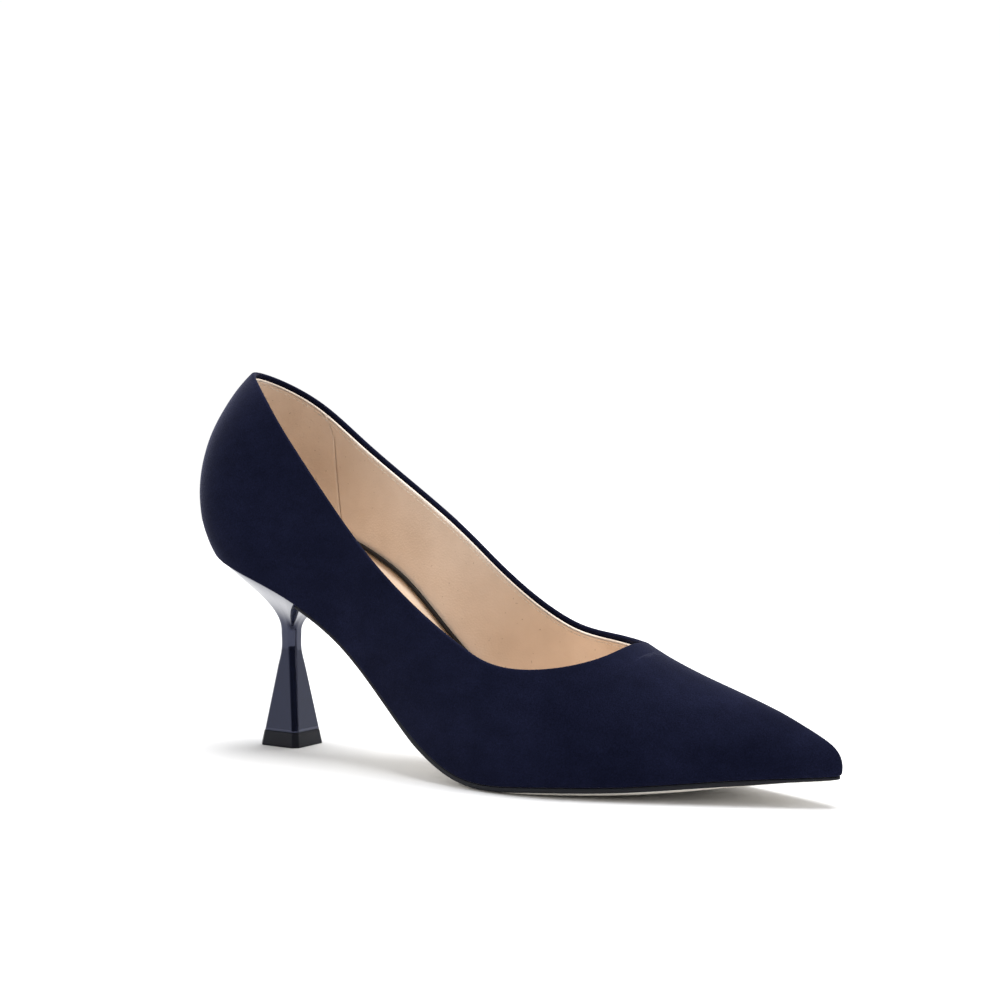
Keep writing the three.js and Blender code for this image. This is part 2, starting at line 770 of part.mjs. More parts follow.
function outsole() {
  const body = new Skin();
  const sections = soleGirths.map((u) => {
    const middle = spine(u);
    const edge = insetEdge(u, 0.5);
    const bevel = insetEdge(u, 0.5 + SOLE_BEVEL);
    const x = edge.x;
    const low = (p) => {
      const q = onBottom(p.x, p.y, SOLE_GAP - soleThickness(p.x));
      q.z = Math.max(0, q.z);
      return q;
    };
    const edgeFoot = onBottom(x, edge.y, SOLE_GAP - Math.min(SOLE_EDGE, soleThickness(x) - 0.6));
    return [
      onBottom(middle.x, middle.y, SOLE_GAP),
      onBottom(edge.x, edge.y, SOLE_GAP),
      edgeFoot,
      low(bevel),
      low(middle.clone().lerp(bevel, 0.5)),
      low(middle),
    ];
  });
  for (let i = 0; i < sections.length - 1; i += 1) {
    for (let j = 0; j < sections[i].length - 1; j += 1) {
      body.quad(sections[i][j], sections[i + 1][j], sections[i + 1][j + 1], sections[i][j + 1]);
    }
  }
  [sections[0], sections[sections.length - 1].slice().reverse()].forEach((section) => {
    for (let j = 1; j < section.length - 1; j += 1) {
      body.triangle(section[0], section[j], section[j + 1]);
    }
  });
  return body.geometry();
}
addMesh("outsole", outsole(), finish(0x14141c, 0.5, 0));

// Heel: square foot, eight-sided neck and a flare that spreads to the seat.
function octagon(half, chamfer, perFace = 6, perCorner = 2) {
  const points = [];
  for (let quarter = 0; quarter < 4; quarter += 1) {
    const turn = (quarter * Math.PI) / 2;
    const spin = (x, y) => new THREE.Vector2(
      x * Math.cos(turn) - y * Math.sin(turn), x * Math.sin(turn) + y * Math.cos(turn),
    );
    const reach = half - chamfer;
    for (let k = 0; k < perFace; k += 1) {
      points.push(spin(half, mix(-reach, reach, k / perFace)));
    }
    for (let k = 0; k < perCorner; k += 1) {
      points.push(spin(half - (chamfer * k) / perCorner, reach + (chamfer * k) / perCorner));
    }
  }
  return points;
}

function heelHalf(z) {
  return mix(HEEL_HALF - HEEL_TAPER * z, NECK_HALF, smooth((z - 28) / 13));
}

const SEAT_INSET = 2.4;
function seatReach(angle) {
  let low = 2;
  let high = 60;
  for (let k = 0; k < 30; k += 1) {
    const middle = (low + high) / 2;
    const x = middle * Math.cos(angle);
    const y = middle * Math.sin(angle);
    const v = stationAt(x);
    const outer = insetEdge(v, SEAT_INSET);
    const inner = insetEdge(LOOP - v, SEAT_INSET);
    const inside = x < BREAST_X && x > -28 + SEAT_INSET && y > outer.y && y < inner.y;
    if (inside) {
      low = middle;
    } else {
      high = middle;
    }
  }
  return low;
}

function heelBlank() {
  const foot = [HEEL_FOOT, 12, 19, 25, 29, 33, 37, NECK_Z];
  const neck = octagon(NECK_HALF, HEEL_CHAMFER + 0.3);
  const rings = foot.map((z) => octagon(heelHalf(z), mix(HEEL_CHAMFER, HEEL_CHAMFER + 0.3, z / NECK_Z))
    .map((p) => new THREE.Vector3(p.x, p.y, z)));
  const seat = neck.map((p) => {
    const angle = Math.atan2(p.y, p.x);
    const reach = seatReach(angle);
    return onBottom(reach * Math.cos(angle), reach * Math.sin(angle), SOLE_GAP);
  });
  const flare = (share) => neck.map((p, i) => {
    const start = new THREE.Vector3(p.x, p.y, NECK_Z);
    const end = seat[i].clone();
    end.z -= 0.8;
    const rise = end.z - NECK_Z;
    const low = start.clone().add(new THREE.Vector3(0, 0, rise * 0.38));
    const high = end.clone().lerp(start, 0.3);
    high.z = end.z - rise * 0.28;
    return new THREE.CubicBezierCurve3(start, low, high, end).getPoint(share);
  });
  [0.2, 0.4, 0.58, 0.74, 0.88, 1].forEach((share) => rings.push(flare(share)));
  [1, 0.66, 0.33].forEach((share) => rings.push(seat.map((p) => onBottom(p.x * share, p.y * share, SOLE_GAP))));
  const body = new Skin();
  const count = neck.length;
  const low = new THREE.Vector3(0, 0, HEEL_FOOT);
  const high = onBottom(0, 0, SOLE_GAP);
  for (let i = 0; i < count; i += 1) {
    const k = (i + 1) % count;
    body.triangle(low, rings[0][k], rings[0][i]);
    for (let j = 0; j < rings.length - 1; j += 1) {
      body.quad(rings[j][i], rings[j][k], rings[j + 1][k], rings[j + 1][i]);
    }
    const top = rings[rings.length - 1];
    body.triangle(top[i], top[k], high);
  }
  return body.geometry();
}

const PIN_TOP = 43;
const pinBore = turned([[0, HEEL_FOOT - 3], [2.1, HEEL_FOOT - 3], [2.1, PIN_TOP + 0.4], [0, PIN_TOP + 0.4]], 0, 0, 20);
addMesh("heel", cut(heelBlank(), [pinBore, ...fastenerHoles]), lacquer());

// Steel tube up the heel, open at both ends, that takes the top piece's dowel.
const tubeProfile = [[1.85, 6.2], [1.85, PIN_TOP], [1.4, PIN_TOP], [1.4, 6.2], [1.85, 6.2]];
addMesh("heel_pin", turned(tubeProfile, 0, 0, 20), steel());

function topPieceBlank() {
  const body = new Skin();
  const rings = [[0, HEEL_HALF - 0.25], [0.4, HEEL_HALF], [TOP_PIECE_HEIGHT, heelHalf(TOP_PIECE_HEIGHT)]].map(([z, half]) => (
    octagon(half, HEEL_CHAMFER, 1, 1).map((p) => new THREE.Vector3(p.x, p.y, z))
  ));
  const count = rings[0].length;
  const low = new THREE.Vector3(0, 0, 0);
  const high = new THREE.Vector3(0, 0, TOP_PIECE_HEIGHT);
  for (let i = 0; i < count; i += 1) {
    const k = (i + 1) % count;
    body.triangle(low, rings[0][k], rings[0][i]);
    body.quad(rings[0][i], rings[0][k], rings[1][k], rings[1][i]);
    body.quad(rings[1][i], rings[1][k], rings[2][k], rings[2][i]);
    body.triangle(rings[2][i], rings[2][k], high);
  }
  return body.geometry();
}

const dowelBore = turned([[0, 1.6], [1.35, 1.6], [1.35, 9], [0, 9]], 0, 0, 14);
addMesh("top_piece", cut(topPieceBlank(), [dowelBore]), finish(0x23232e, 0.55, 0));
addMesh("top_piece_dowel", turned([[0, 1.9], [1.05, 1.9], [1.05, 15], [0.6, 16], [0, 16]], 0, 0, 14), steel());
addMesh("heel_screw", turned(screwProfile, SCREW_X, 0), steel());
NAILS.forEach(([x, y], i) => {
  addMesh(`heel_nail_${i + 1}`, turned(nailProfiles[i], x, y, 10), steel());
});

export default group;
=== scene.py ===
import math

import bmesh
import bpy
import numpy as np
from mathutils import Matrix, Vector, noise


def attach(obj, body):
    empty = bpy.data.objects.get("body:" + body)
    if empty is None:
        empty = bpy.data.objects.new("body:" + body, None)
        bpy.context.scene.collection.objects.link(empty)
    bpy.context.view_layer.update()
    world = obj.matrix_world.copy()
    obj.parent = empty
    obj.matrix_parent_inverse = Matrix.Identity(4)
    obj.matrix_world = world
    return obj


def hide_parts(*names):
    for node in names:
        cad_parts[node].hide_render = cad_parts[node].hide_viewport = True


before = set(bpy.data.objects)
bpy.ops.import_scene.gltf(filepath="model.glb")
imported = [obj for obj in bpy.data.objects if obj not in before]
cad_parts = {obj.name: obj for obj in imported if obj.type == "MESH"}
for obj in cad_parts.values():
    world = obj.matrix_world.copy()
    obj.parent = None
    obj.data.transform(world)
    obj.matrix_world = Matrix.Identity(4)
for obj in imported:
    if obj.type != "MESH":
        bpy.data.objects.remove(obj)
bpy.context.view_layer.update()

# High heel pump for the right foot. Sizes are in millimetres until a mesh is made.
# +X runs to the toe, +Y to the inner side of the foot, +Z up.
MM = 0.001

# Layers of the wall, as depths from the outer skin of the upper.
SUEDE = 0.95
FOLD_IN = 1.75
FOLD_DEPTH = 5.0
FOLD_LIFT = 0.4
TAPE_TOP = 5.5
STIFFENER_OUT = 1.4
STIFFENER_IN = 2.0
LINING_OUT = 2.2
LINING_IN = 3.1
LINING_EDGE_DROP = 0.85
BAND = 7.0
MARGIN = 13.0
FEATHER_ROUND = 0.9
WALL_FOOT = 3.7
SEAM_EASE = 0.3
BACK_SEAM_DEPTH = 0.28
BACK_SEAM_HALF = 0.42
STITCH_LINE = 1.9
STITCH_LENGTH = 1.3
STITCH_GAP = 0.45
THREAD_RADIUS = 0.18

# Layers of the bottom, as heights above the lasted bottom.
PAD_LOW = 3.65
PAD_RISE = 1.5
HEEL_PAD_FRONT = 6
BALL_PAD_REAR = 86
BALL_PAD_FRONT = 140
SOCK_GAP = 0.3
SOCK_THICK = 0.9
SOCK_INSET = 5.2
SOCK_DEPTH = 3.45
SOCK_RISE = 1.05
SOCK_BEND = 4.1
BEAD = 0.72
SOLE_GAP = -0.08
SOLE_INSET = 0.5
SOLE_EDGE = 1.7
SOLE_FOREPART = 2.9
SOLE_WAIST = 1.7
SOLE_BEVEL = 3.2
WAIST_FRONT_X = 60.0
TOE_THINNING_X = 170.0
TOE_THINNING = 0.45
BREAST_X = 21.0

# Heel and top piece.
TOP_PIECE_HEIGHT = 5.3
HEEL_FOOT = 5.45
HEEL_HALF = 8.5
HEEL_TAPER = 0.1448
NECK_HALF = 3.55
NECK_Z = 41.0
NECK_BLEND = 13.0
HEEL_CHAMFER = 1.7
SEAT_INSET = 2.4

# The topline starts here, counted in stations from the toe, and the heel grip meets the lining here.
THROAT = 3.58
THROAT_ROUND = 0.3
THROAT_WIDTH = 1.35
GRIP_SEAM_TOP = 8.7
GRIP_SEAM_BASE = 8.0
SEAM_LEAN = 1.1

# Girth stations of the last from the toe tip to the back of the heel.
# x, z of the feather edge; centre y; outer and inner half width; cone line x, z and half width;
# fullness low and high; swell outer and inner; shoulder outer and inner; topline height outer and inner;
# and how much higher the arch lifts the inner feather edge.
LAST = (
    (222, 10.5, 5, 0, 0, 214, 22.6, 0, 0.55, 0.75, 1.5, 1.5, 0, 0, 0.5, 0.62, 0),
    (214, 9.9, 5, 6.5, 6, 206, 26.4, 0, 0.55, 0.66, 1.5, 1.5, 0, 0, 0.5, 0.62, 0),
    (188, 7.9, 4, 18, 16, 185, 33.8, 0, 0.55, 0.58, 2.5, 2, 0, 0, 0.5, 0.62, 0),
    (158, 4.9, 1.5, 30, 27, 160, 42.2, 0, 0.55, 0.58, 3, 2.5, 0, 0, 0.5, 0.62, 0),
    (128, 3.2, -1, 37, 34, 137, 54, 3, 0.55, 0.62, 3, 3, 0, 0, 0.444, 0.572, 0),
    (98, 4, -2, 35, 31, 114, 72, 10, 0.55, 0.64, 2, 3.5, 0, 1, 0.417, 0.48, 1.5),
    (68, 20.5, -3, 27, 20, 90, 93, 16, 0.5, 0.64, 3, 6.5, 0, 6, 0.396, 0.491, 7),
    (40, 43, -2, 23, 19, 66, 111, 16, 0.45, 0.66, 3.5, 6.5, 0, 6, 0.418, 0.474, 9),
    (10, 59, -0.5, 25, 23, 40, 126, 14, 0.45, 0.7, 4.5, 4.5, 0, 1, 0.569, 0.523, 5.5),
    (-16, 67.4, 0, 21, 20, 18, 137, 9, 0.41, 0.7, 14.5, 10.5, 0, 0, 0.717, 0.636, 1),
    (-28, 71.5, 0, 0, 0, 3, 141, 0, 0.39, 0.68, 17, 17, 0, 0, 0.727, 0.727, 0),
)
HEEL_BACK = len(LAST) - 1
FRONT_COLUMNS = 61
LOOP = 2 * HEEL_BACK
TOE_CORE = np.array((196, 4.5, 14))
SPINE_FRONT = 1.5
SPINE_REAR = 8.8


def mix(a, b, f):
    return a + (b - a) * f


def clamp01(value):
    return np.clip(value, 0.0, 1.0)


def smooth(value):
    s = clamp01(value)
    return s * s * (3 - 2 * s)


def unit(v):
    return v / np.linalg.norm(v, axis=-1, keepdims=True)


def dot(a, b):
    return (a * b).sum(-1)


# ---------------------------------------------------------------- the last

def closed_spline(rows):
    """Smooth closed curve through rows of values at whole-number parameters."""
    rows = np.array(rows, float)
    n = len(rows)
    matrix = 4 * np.eye(n) + np.roll(np.eye(n), 1, 0) + np.roll(np.eye(n), -1, 0)
    slopes = np.linalg.solve(matrix, 3 * (np.roll(rows, -1, 0) - np.roll(rows, 1, 0)))

    def at(u):
        w = np.mod(np.asarray(u, float), n)
        i = np.floor(w).astype(int) % n
        j = (i + 1) % n
        t = (w - np.floor(w))[..., None]
        a = 2 * t**3 - 3 * t**2 + 1
        b = t**3 - 2 * t**2 + t
        c = t**3 - t**2
        return a * rows[i] + b * slopes[i] + (1 - a) * rows[j] + c * slopes[j]

    return at


def both_sides(outer, inner):
    return [outer(*s) for s in LAST] + [inner(*s) for s in LAST[-2:0:-1]]


feather = closed_spline(both_sides(
    lambda x, z, c, wl, wm, *rest: (x, c - wl, z),
    lambda *s: (s[0], s[2] + s[4], s[1] + s[16]),
))
cone = closed_spline(both_sides(
    lambda x, z, c, wl, wm, rx, rz, rw, *rest: (rx, c, rz, -rw),
    lambda x, z, c, wl, wm, rx, rz, rw, *rest: (rx, c, rz, rw),
))
form = closed_spline(both_sides(
    lambda *s: (s[8], s[9], s[10], s[12], s[14]),
    lambda *s: (s[8], s[9], s[11], s[13], s[15]),
))


def side_of(u):
    """Stations from the toe round either side: 0 at the toe, HEEL_BACK at the heel."""
    w = np.mod(u, LOOP)
    return np.minimum(w, LOOP - w)


def girth(v, side):
    """Parameter round the last of station v, on the outer side (1) or the inner side (-1)."""
    return v if side > 0 else LOOP - v


def top_height(u):
    """Fraction of the girth curve at which the topline cuts it."""
    rise = np.sin(math.pi / 2 * clamp01((side_of(u) - THROAT) / THROAT_WIDTH)) ** THROAT_ROUND
    return 1 - rise * (1 - form(u)[..., 4])


def skin(u, t):
    """Point of the outer skin at girth u and height t."""
    u, t = np.broadcast_arrays(np.asarray(u, float), np.asarray(t, float))
    v = side_of(u)
    f = feather(u)
    rx, ry, rz, rw = np.moveaxis(cone(u), -1, 0)
    ku, kin, swell, shoulder = np.moveaxis(form(u)[..., :4], -1, 0)
    ry = ry + rw * smooth((v - THROAT) / 0.8)
    step = feather(u + 0.001) - feather(u - 0.001)
    out = unit(np.stack([-step[..., 1], step[..., 0]], -1))
    lean = np.where(v < 1, 1 - v, smooth((v - THROAT) / 1.2))
    low = np.stack([
        f[..., 0] + out[..., 0] * swell,
        f[..., 1] + out[..., 1] * swell,
        mix(f[..., 2], rz, ku),
    ], -1)
    high = np.stack([
        rx + (f[..., 0] - rx) * lean * kin + out[..., 0] * shoulder,
        ry + (f[..., 1] - ry) * kin + out[..., 1] * shoulder,
        rz - 2.2 * clamp01(1 - v / 1.5),
    ], -1)
    ridge = np.stack([rx, ry, rz], -1)
    t = t[..., None]
    s = 1 - t
    return f * s**3 + 3 * low * t * s**2 + 3 * high * t**2 * s + ridge * t**3


def slopes(u, t):
    """Rates of change of the skin along the girth and up the wall."""
    step = 0.002
    along = (skin(u + step, t) - skin(u - step, t)) / (2 * step)
    up = (skin(u, t + step) - skin(u, t - step)) / (2 * step)
    return along, up


def inward(u, t):
    """Unit vector into the shoe from its outer skin."""
    u, t = np.broadcast_arrays(np.asarray(u, float), np.asarray(t, float))
    v = side_of(u)
    along, up = slopes(u, t)
    wall = unit(np.cross(along, up))
    near = cone(np.maximum(v, 0.15) - 0.01)
    far = cone(np.maximum(v, 0.15) + 0.01)
    ridge = unit(np.stack([near[..., 2] - far[..., 2], np.zeros(v.shape), far[..., 0] - near[..., 0]], -1))
    on_ridge = (v <= THROAT + 1e-9) & (t > 0.995)
    way = np.where(on_ridge[..., None], ridge, wall)
    core = unit(TOE_CORE - skin(u, t))
    return unit(mix(core, way, smooth((v - 0.3) / 1.2)[..., None]))


def layer(u, t, depth):
    return skin(u, t) + inward(u, t) * np.asarray(depth, float)[..., None]


# ------------------------------------------------------- the lasted bottom

EDGE_STATIONS = np.linspace(HEEL_BACK, 0, 4001)
OUTER_EDGE = feather(EDGE_STATIONS)
INNER_EDGE = feather(LOOP - EDGE_STATIONS)


def station_at(x):
    return np.interp(x, OUTER_EDGE[:, 0], EDGE_STATIONS)


def edge_height(x):
    return np.interp(x, OUTER_EDGE[:, 0], OUTER_EDGE[:, 2])


def bottom_normal(x):
    """Normal of the bottom's side view."""
    rise = (edge_height(x + 1) - edge_height(x - 1)) / 2
    return unit(np.stack([-rise, np.zeros(np.shape(x)), np.ones(np.shape(x))], -1))


def bottom_height(x, y):
    """Height of the lasted bottom, which banks up to the inner side at the arch."""
    outer = np.interp(x, OUTER_EDGE[:, 0], OUTER_EDGE[:, 1])
    inner = np.interp(x, OUTER_EDGE[:, 0], INNER_EDGE[:, 1])
    lift = np.interp(x, OUTER_EDGE[:, 0], INNER_EDGE[:, 2] - OUTER_EDGE[:, 2])
    return edge_height(x) + lift * clamp01((y - outer) / np.maximum(inner - outer, 0.01))


def on_bottom(p, height):
    """Point over the plan point p at a height square to the lasted bottom."""
    p = np.asarray(p, float)
    x, y = p[..., 0], p[..., 1]
    ground = np.stack([x, y, bottom_height(x, y)], -1)
    return ground + bottom_normal(x) * np.broadcast_to(np.asarray(height, float), x.shape)[..., None]


def spine(u):
    """Centre line of the bottom, which insets run towards."""
    v = np.clip(side_of(u), SPINE_FRONT, SPINE_REAR)
    return (feather(v)[..., :2] + feather(LOOP - v)[..., :2]) / 2


def inset_edge(u, inset):
    """Plan point a given distance in from the feather edge."""
    edge = feather(u)[..., :2]
    middle = spine(u)
    reach = np.linalg.norm(middle - edge, axis=-1)
    share = np.minimum(0.97, inset / reach)
    return edge + (middle - edge) * share[..., None]


def margin_inset(u):
    reach = np.linalg.norm(spine(u) - feather(u)[..., :2], axis=-1)
    return np.minimum(MARGIN, 0.72 * reach)


def pad_bump(x):
    """1 over the heel and ball cushions, 0 between them."""
    heel = 1 - smooth((x - HEEL_PAD_FRONT) / 26)
    ball = smooth((x - BALL_PAD_REAR) / 18) * (1 - smooth((x - BALL_PAD_FRONT) / 22))
    return np.maximum(heel, ball)


def pad_top(x, share):
    return PAD_LOW + 0.05 + PAD_RISE * pad_bump(x) * (1 - share**2)


# ----------------------------------------------------------- mesh making

class Surface:
    """Collects grids of points into one mesh and welds their shared edges."""

    def __init__(self):
        self.points = []
        self.faces = []
        self.slots = []
        self.count = 0

    def grid(self, points, slot=0, wrap=False):
        """Quads between the rows of points, an array of rows by columns by 3."""
        rows, columns = points.shape[:2]
        first = self.count
        self.points.append(points.reshape(-1, 3))
        self.count += rows * columns
        for i in range(rows - 1):
            for j in range(columns if wrap else columns - 1):
                k = (j + 1) % columns
                a = first + i * columns
                b = a + columns
                self.faces.append((a + j, a + k, b + k, b + j))
                self.slots.append(slot)

    def fan(self, ring, slot=0):
        """Cap over a closed ring of points, drawn to its middle."""
        middle = np.broadcast_to(ring.mean(0), ring.shape)
        self.grid(np.stack([ring, middle]), slot, wrap=True)

    def piece(self, name, *materials):
        mesh = bpy.data.meshes.new(name)
        mesh.from_pydata((np.concatenate(self.points) * MM).tolist(), [], self.faces)
        mesh.polygons.foreach_set("material_index", self.slots)
        form_mesh = bmesh.new()
        form_mesh.from_mesh(mesh)
        bmesh.ops.remove_doubles(form_mesh, verts=form_mesh.verts, dist=4e-6)
        bmesh.ops.dissolve_degenerate(form_mesh, edges=form_mesh.edges, dist=1e-6)
        bmesh.ops.recalc_face_normals(form_mesh, faces=form_mesh.faces)
        form_mesh.to_mesh(mesh)
        form_mesh.free()
        mesh.shade_smooth()
        piece = bpy.data.objects.new(name, mesh)
        bpy.context.scene.collection.objects.link(piece)
        for material in materials:
            mesh.materials.append(material)
        return piece


def place(piece, slot, *nodes):
    """The piece moves with the shoe and stands for its CAD nodes, which it hides; the slot argument is not
    used.
    """
    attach(piece, "root")
    if nodes:
        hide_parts(*nodes)
    return piece


# ------------------------------------------------------- columns of the wall

def topline(side):
    """Fine samples down one side of the topline: parameters, their rate per millimetre of depth, run.
    Columns lean forward round the grip seam, as the seam does."""
    steps = 3000
    share = np.linspace(0, 1, steps + 1)
    u = girth(THROAT + (HEEL_BACK - THROAT) * share**2.5, side)
    t = top_height(u)
    points = skin(u, t)
    run = np.concatenate([[0], np.cumsum(np.linalg.norm(np.diff(points, axis=0), axis=1))])
    tangent = unit(np.gradient(points, run, axis=0))
    v = side_of(u)
    lean = SEAM_LEAN * smooth((v - 6.8) / 1.4) * (1 - smooth((v - 9.1) / 0.8))
    down = np.cross(tangent, inward(u, t)) * side - tangent * lean[:, None]
    along, up = slopes(u, t)
    aa, ab, bb = dot(along, along), dot(along, up), dot(up, up)
    da, db = dot(along, down), dot(up, down)
    scale = aa * bb - ab * ab
    du = (da * bb - db * ab) / scale
    dt = (db * aa - da * ab) / scale
    du[0] = -side / np.sqrt(aa[0])
    dt[0] = 0
    return np.stack([u, t, du, dt], -1), run


def rear_shares(seam_share, total):
    """Even shares of the topline, closer at the throat, and close at the seams."""
    even = np.linspace(0, 1, 165)
    even = mix(even, even**2, 0.35)
    near = np.array([0.14, 0.5, 1.0]) / total
    seam = np.concatenate([seam_share - near, seam_share + near])
    back = 1 - np.array([0.3, 0.6, 1.0, 1.5]) / total
    keep = (np.abs(even - seam_share) > 1.5 * near[2]) & ((even < back.min() - near[2]) | (even == 1))
    return np.sort(np.concatenate([even[keep], seam, back]))


def side_columns(side):
    """Columns of one side from the toe to the heel, as an array of
    base girth, top girth, top height, edge girth, edge height, edge rates and a rear flag."""
    fine, run = topline(side)
    total = run[-1]
    v = side_of(fine[:, 0])
    seam_share = np.interp(GRIP_SEAM_TOP, v, run / total)
    shares = rear_shares(seam_share, total)
    edge = np.stack([np.interp(shares * total, run, fine[:, k]) for k in range(4)], -1)
    top_u = edge[:, 0] + BAND * edge[:, 2]
    top_t = np.minimum(edge[:, 1] + BAND * edge[:, 3], 1)
    start = side_of(top_u[0])
    base_v = np.interp(shares, [0, seam_share, 1], [start, GRIP_SEAM_BASE, HEEL_BACK])
    rear = np.stack([girth(base_v, side), top_u, top_t, *edge.T, np.ones(len(shares))], -1)
    path = np.linspace(0, 1, FRONT_COLUMNS + 1)[:-1]
    front_v = start * mix(path, path**2, 0.15)
    front = np.zeros((len(front_v), 8))
    front[:, 0] = front[:, 1] = girth(front_v, side)
    front[:, 2] = 1
    return np.concatenate([front, rear]), shares, seam_share


OUTER, SHARES, OUTER_SEAM = side_columns(1)
INNER, INNER_SHARES, INNER_SEAM = side_columns(-1)
COLUMNS = np.concatenate([OUTER, INNER[::-1]])
REAR = COLUMNS[COLUMNS[:, 7] > 0]


def wall(columns, rows, depth):
    """Grid of points up the columns, with rows as shares of the height below the band."""
    rows = np.asarray(rows, float)[:, None]
    depth = np.asarray(depth, float)
    if depth.ndim == 1:
        depth = depth[:, None]
    u = mix(columns[:, 0], columns[:, 1], rows)
    return layer(u, rows * columns[:, 2], np.broadcast_to(depth, u.shape))


def band(columns, distances, depth):
    """Grid of points in the band along the topline, with rows as distances below it."""
    away = np.asarray(distances, float)[:, None]
    depth = np.asarray(depth, float)
    if depth.ndim == 1:
        depth = depth[:, None]
    u = columns[:, 3] + away * columns[:, 5]
    t = np.minimum(columns[:, 4] + away * columns[:, 6], 1)
    return layer(u, t, np.broadcast_to(depth, u.shape))


def foot_rows(columns, height, depth=0.0):
    """Share of each column's wall at which a layer of it stands a given height above the bottom."""
    shares = np.linspace(0, 0.4, 80)
    start = feather(columns[:, 0])
    above = dot(wall(columns, shares, depth) - start, bottom_normal(start[:, 0]))
    heights = np.broadcast_to(height, len(columns))
    return np.array([np.interp(heights[k], above[:, k], shares) for k in range(len(columns))])


def on_wall(columns, height, depth):
    """Point of each column at a height above the bottom and a depth behind the skin."""
    share = foot_rows(columns, height, depth)
    u = mix(columns[:, 0], columns[:, 1], share)
    return layer(u, share * columns[:, 2], np.broadcast_to(depth, u.shape))


def wall_from(columns, foot, rows, depth):
    """As wall(), but the rows start at each column's own foot."""
    rows = np.asarray(rows, float)[:, None]
    depth = np.asarray(depth, float)
    if depth.ndim == 1:
        depth = depth[:, None]
    share = mix(foot, 1.0, rows)
    u = mix(columns[:, 0], columns[:, 1], share)
    return layer(u, share * columns[:, 2], np.broadcast_to(depth, u.shape))


# --------------------------------------------------------------- materials

class Nodes:
    """Short-hand for the node tree of one material."""

    def __init__(self, name):
        self.material = bpy.data.materials.new(name)
        self.material.use_nodes = True
        self.tree = self.material.node_tree
        self.shader = self.tree.nodes["Principled BSDF"]
        self.place = self.add("ShaderNodeTexCoord").outputs["Object"]

    def add(self, kind, **inputs):
        node = self.tree.nodes.new(kind)
        for key, value in inputs.items():
            socket = node.inputs[key.replace("_", " ")]
            if isinstance(value, bpy.types.NodeSocket):
                self.tree.links.new(value, socket)
            else:
                socket.default_value = value
        return node

    def set(self, **values):
        for key, value in values.items():
            socket = self.shader.inputs[key.replace("_", " ")]
            if isinstance(value, bpy.types.NodeSocket):
                self.tree.links.new(value, socket)
            else:
                socket.default_value = value

    def noise(self, size_mm, detail=2.0, stretch=None, rough=0.5):
        """Noise whose features are about size_mm across."""
        place = self.place
        if stretch:
            place = self.add("ShaderNodeMapping", Vector=place, Scale=stretch).outputs["Vector"]
        scale = 1000 / size_mm
        node = self.add("ShaderNodeTexNoise", Vector=place, Scale=scale, Detail=detail, Roughness=rough)
        return node.outputs["Fac"]

    def ramp(self, value, low, high, start=0.3, end=0.7):
        """A colour between low and high as value goes from start to end."""
        node = self.add("ShaderNodeValToRGB", Fac=value)
        first, last = node.color_ramp.elements
        first.position, last.position = start, end
        first.color, last.color = (*low, 1), (*high, 1)
        return node.outputs["Color"]

    def span(self, value, low, high, start=0.3, end=0.7):
        """A number between low and high as value goes from start to end."""
        node = self.add("ShaderNodeMapRange", Value=value)
        node.inputs["From Min"].default_value = start
        node.inputs["From Max"].default_value = end
        node.inputs["To Min"].default_value = low
        node.inputs["To Max"].default_value = high
        return node.outputs["Result"]

    def multiply(self, a, b):
        node = self.tree.nodes.new("ShaderNodeMix")
        node.data_type = "RGBA"
        node.blend_type = "MULTIPLY"
        node.inputs["Factor"].default_value = 1.0
        self.tree.links.new(a, node.inputs["A"])
        self.tree.links.new(b, node.inputs["B"])
        return node.outputs["Result"]

    def bump(self, value, depth_mm, strength=1.0, normal=None):
        node = self.add("ShaderNodeBump", Height=value, Distance=depth_mm * MM, Strength=strength)
        if normal:
            self.tree.links.new(normal, node.inputs["Normal"])
        self.tree.links.new(node.outputs["Normal"], self.shader.inputs["Normal"])
        return node.outputs["Normal"]


def suede_material():
    """Navy suede: short matt nap, brushed in clouds, paler where the fibres catch the light."""
    nodes = Nodes("navy_suede")
    clouds = nodes.noise(26, 3.0, rough=0.6)
    brushed = nodes.noise(5, 3.0, stretch=(0.5, 1, 1))
    nap = nodes.noise(0.42, 2.0, rough=0.7)
    colour = nodes.ramp(clouds, (0.0044, 0.0055, 0.0168), (0.0068, 0.0082, 0.0232), 0.32, 0.68)
    streaks = nodes.ramp(brushed, (0.86, 0.86, 0.88), (1.12, 1.12, 1.12), 0.3, 0.7)
    fibres = nodes.ramp(nap, (0.6, 0.6, 0.62), (1.45, 1.45, 1.42), 0.3, 0.72)
    nodes.set(
        Base_Color=nodes.multiply(nodes.multiply(colour, streaks), fibres),
        Roughness=0.95, Sheen_Weight=0.17, Sheen_Roughness=0.3, Sheen_Tint=(0.55, 0.57, 0.8, 1),
    )
    nodes.shader.inputs["Specular IOR Level"].default_value = 0.04
    nodes.bump(nap, 0.12, 0.8)
    return nodes.material


def lining_material():
    """Nude lining leather: fine pebbled grain, soft gloss and a few darker pores."""
    nodes = Nodes("lining_leather")
    mottled = nodes.noise(16, 3.0)
    grain = nodes.add("ShaderNodeTexVoronoi", Vector=nodes.place, Scale=1000 / 0.75).outputs["Distance"]
    fine = nodes.noise(0.4, 2.0)
    pores = nodes.noise(0.8, 0.0)
    colour = nodes.ramp(mottled, (0.68, 0.56, 0.455), (0.77, 0.65, 0.545), 0.3, 0.7)
    dots = nodes.ramp(pores, (0.72, 0.68, 0.64), (1, 1, 1), 0.14, 0.2)
    nodes.set(Base_Color=nodes.multiply(colour, dots), Roughness=nodes.span(fine, 0.32, 0.46))
    nodes.shader.inputs["Specular IOR Level"].default_value = 0.6
    nodes.bump(fine, 0.05, 0.6, nodes.bump(grain, 0.09, 0.7))
    return nodes.material


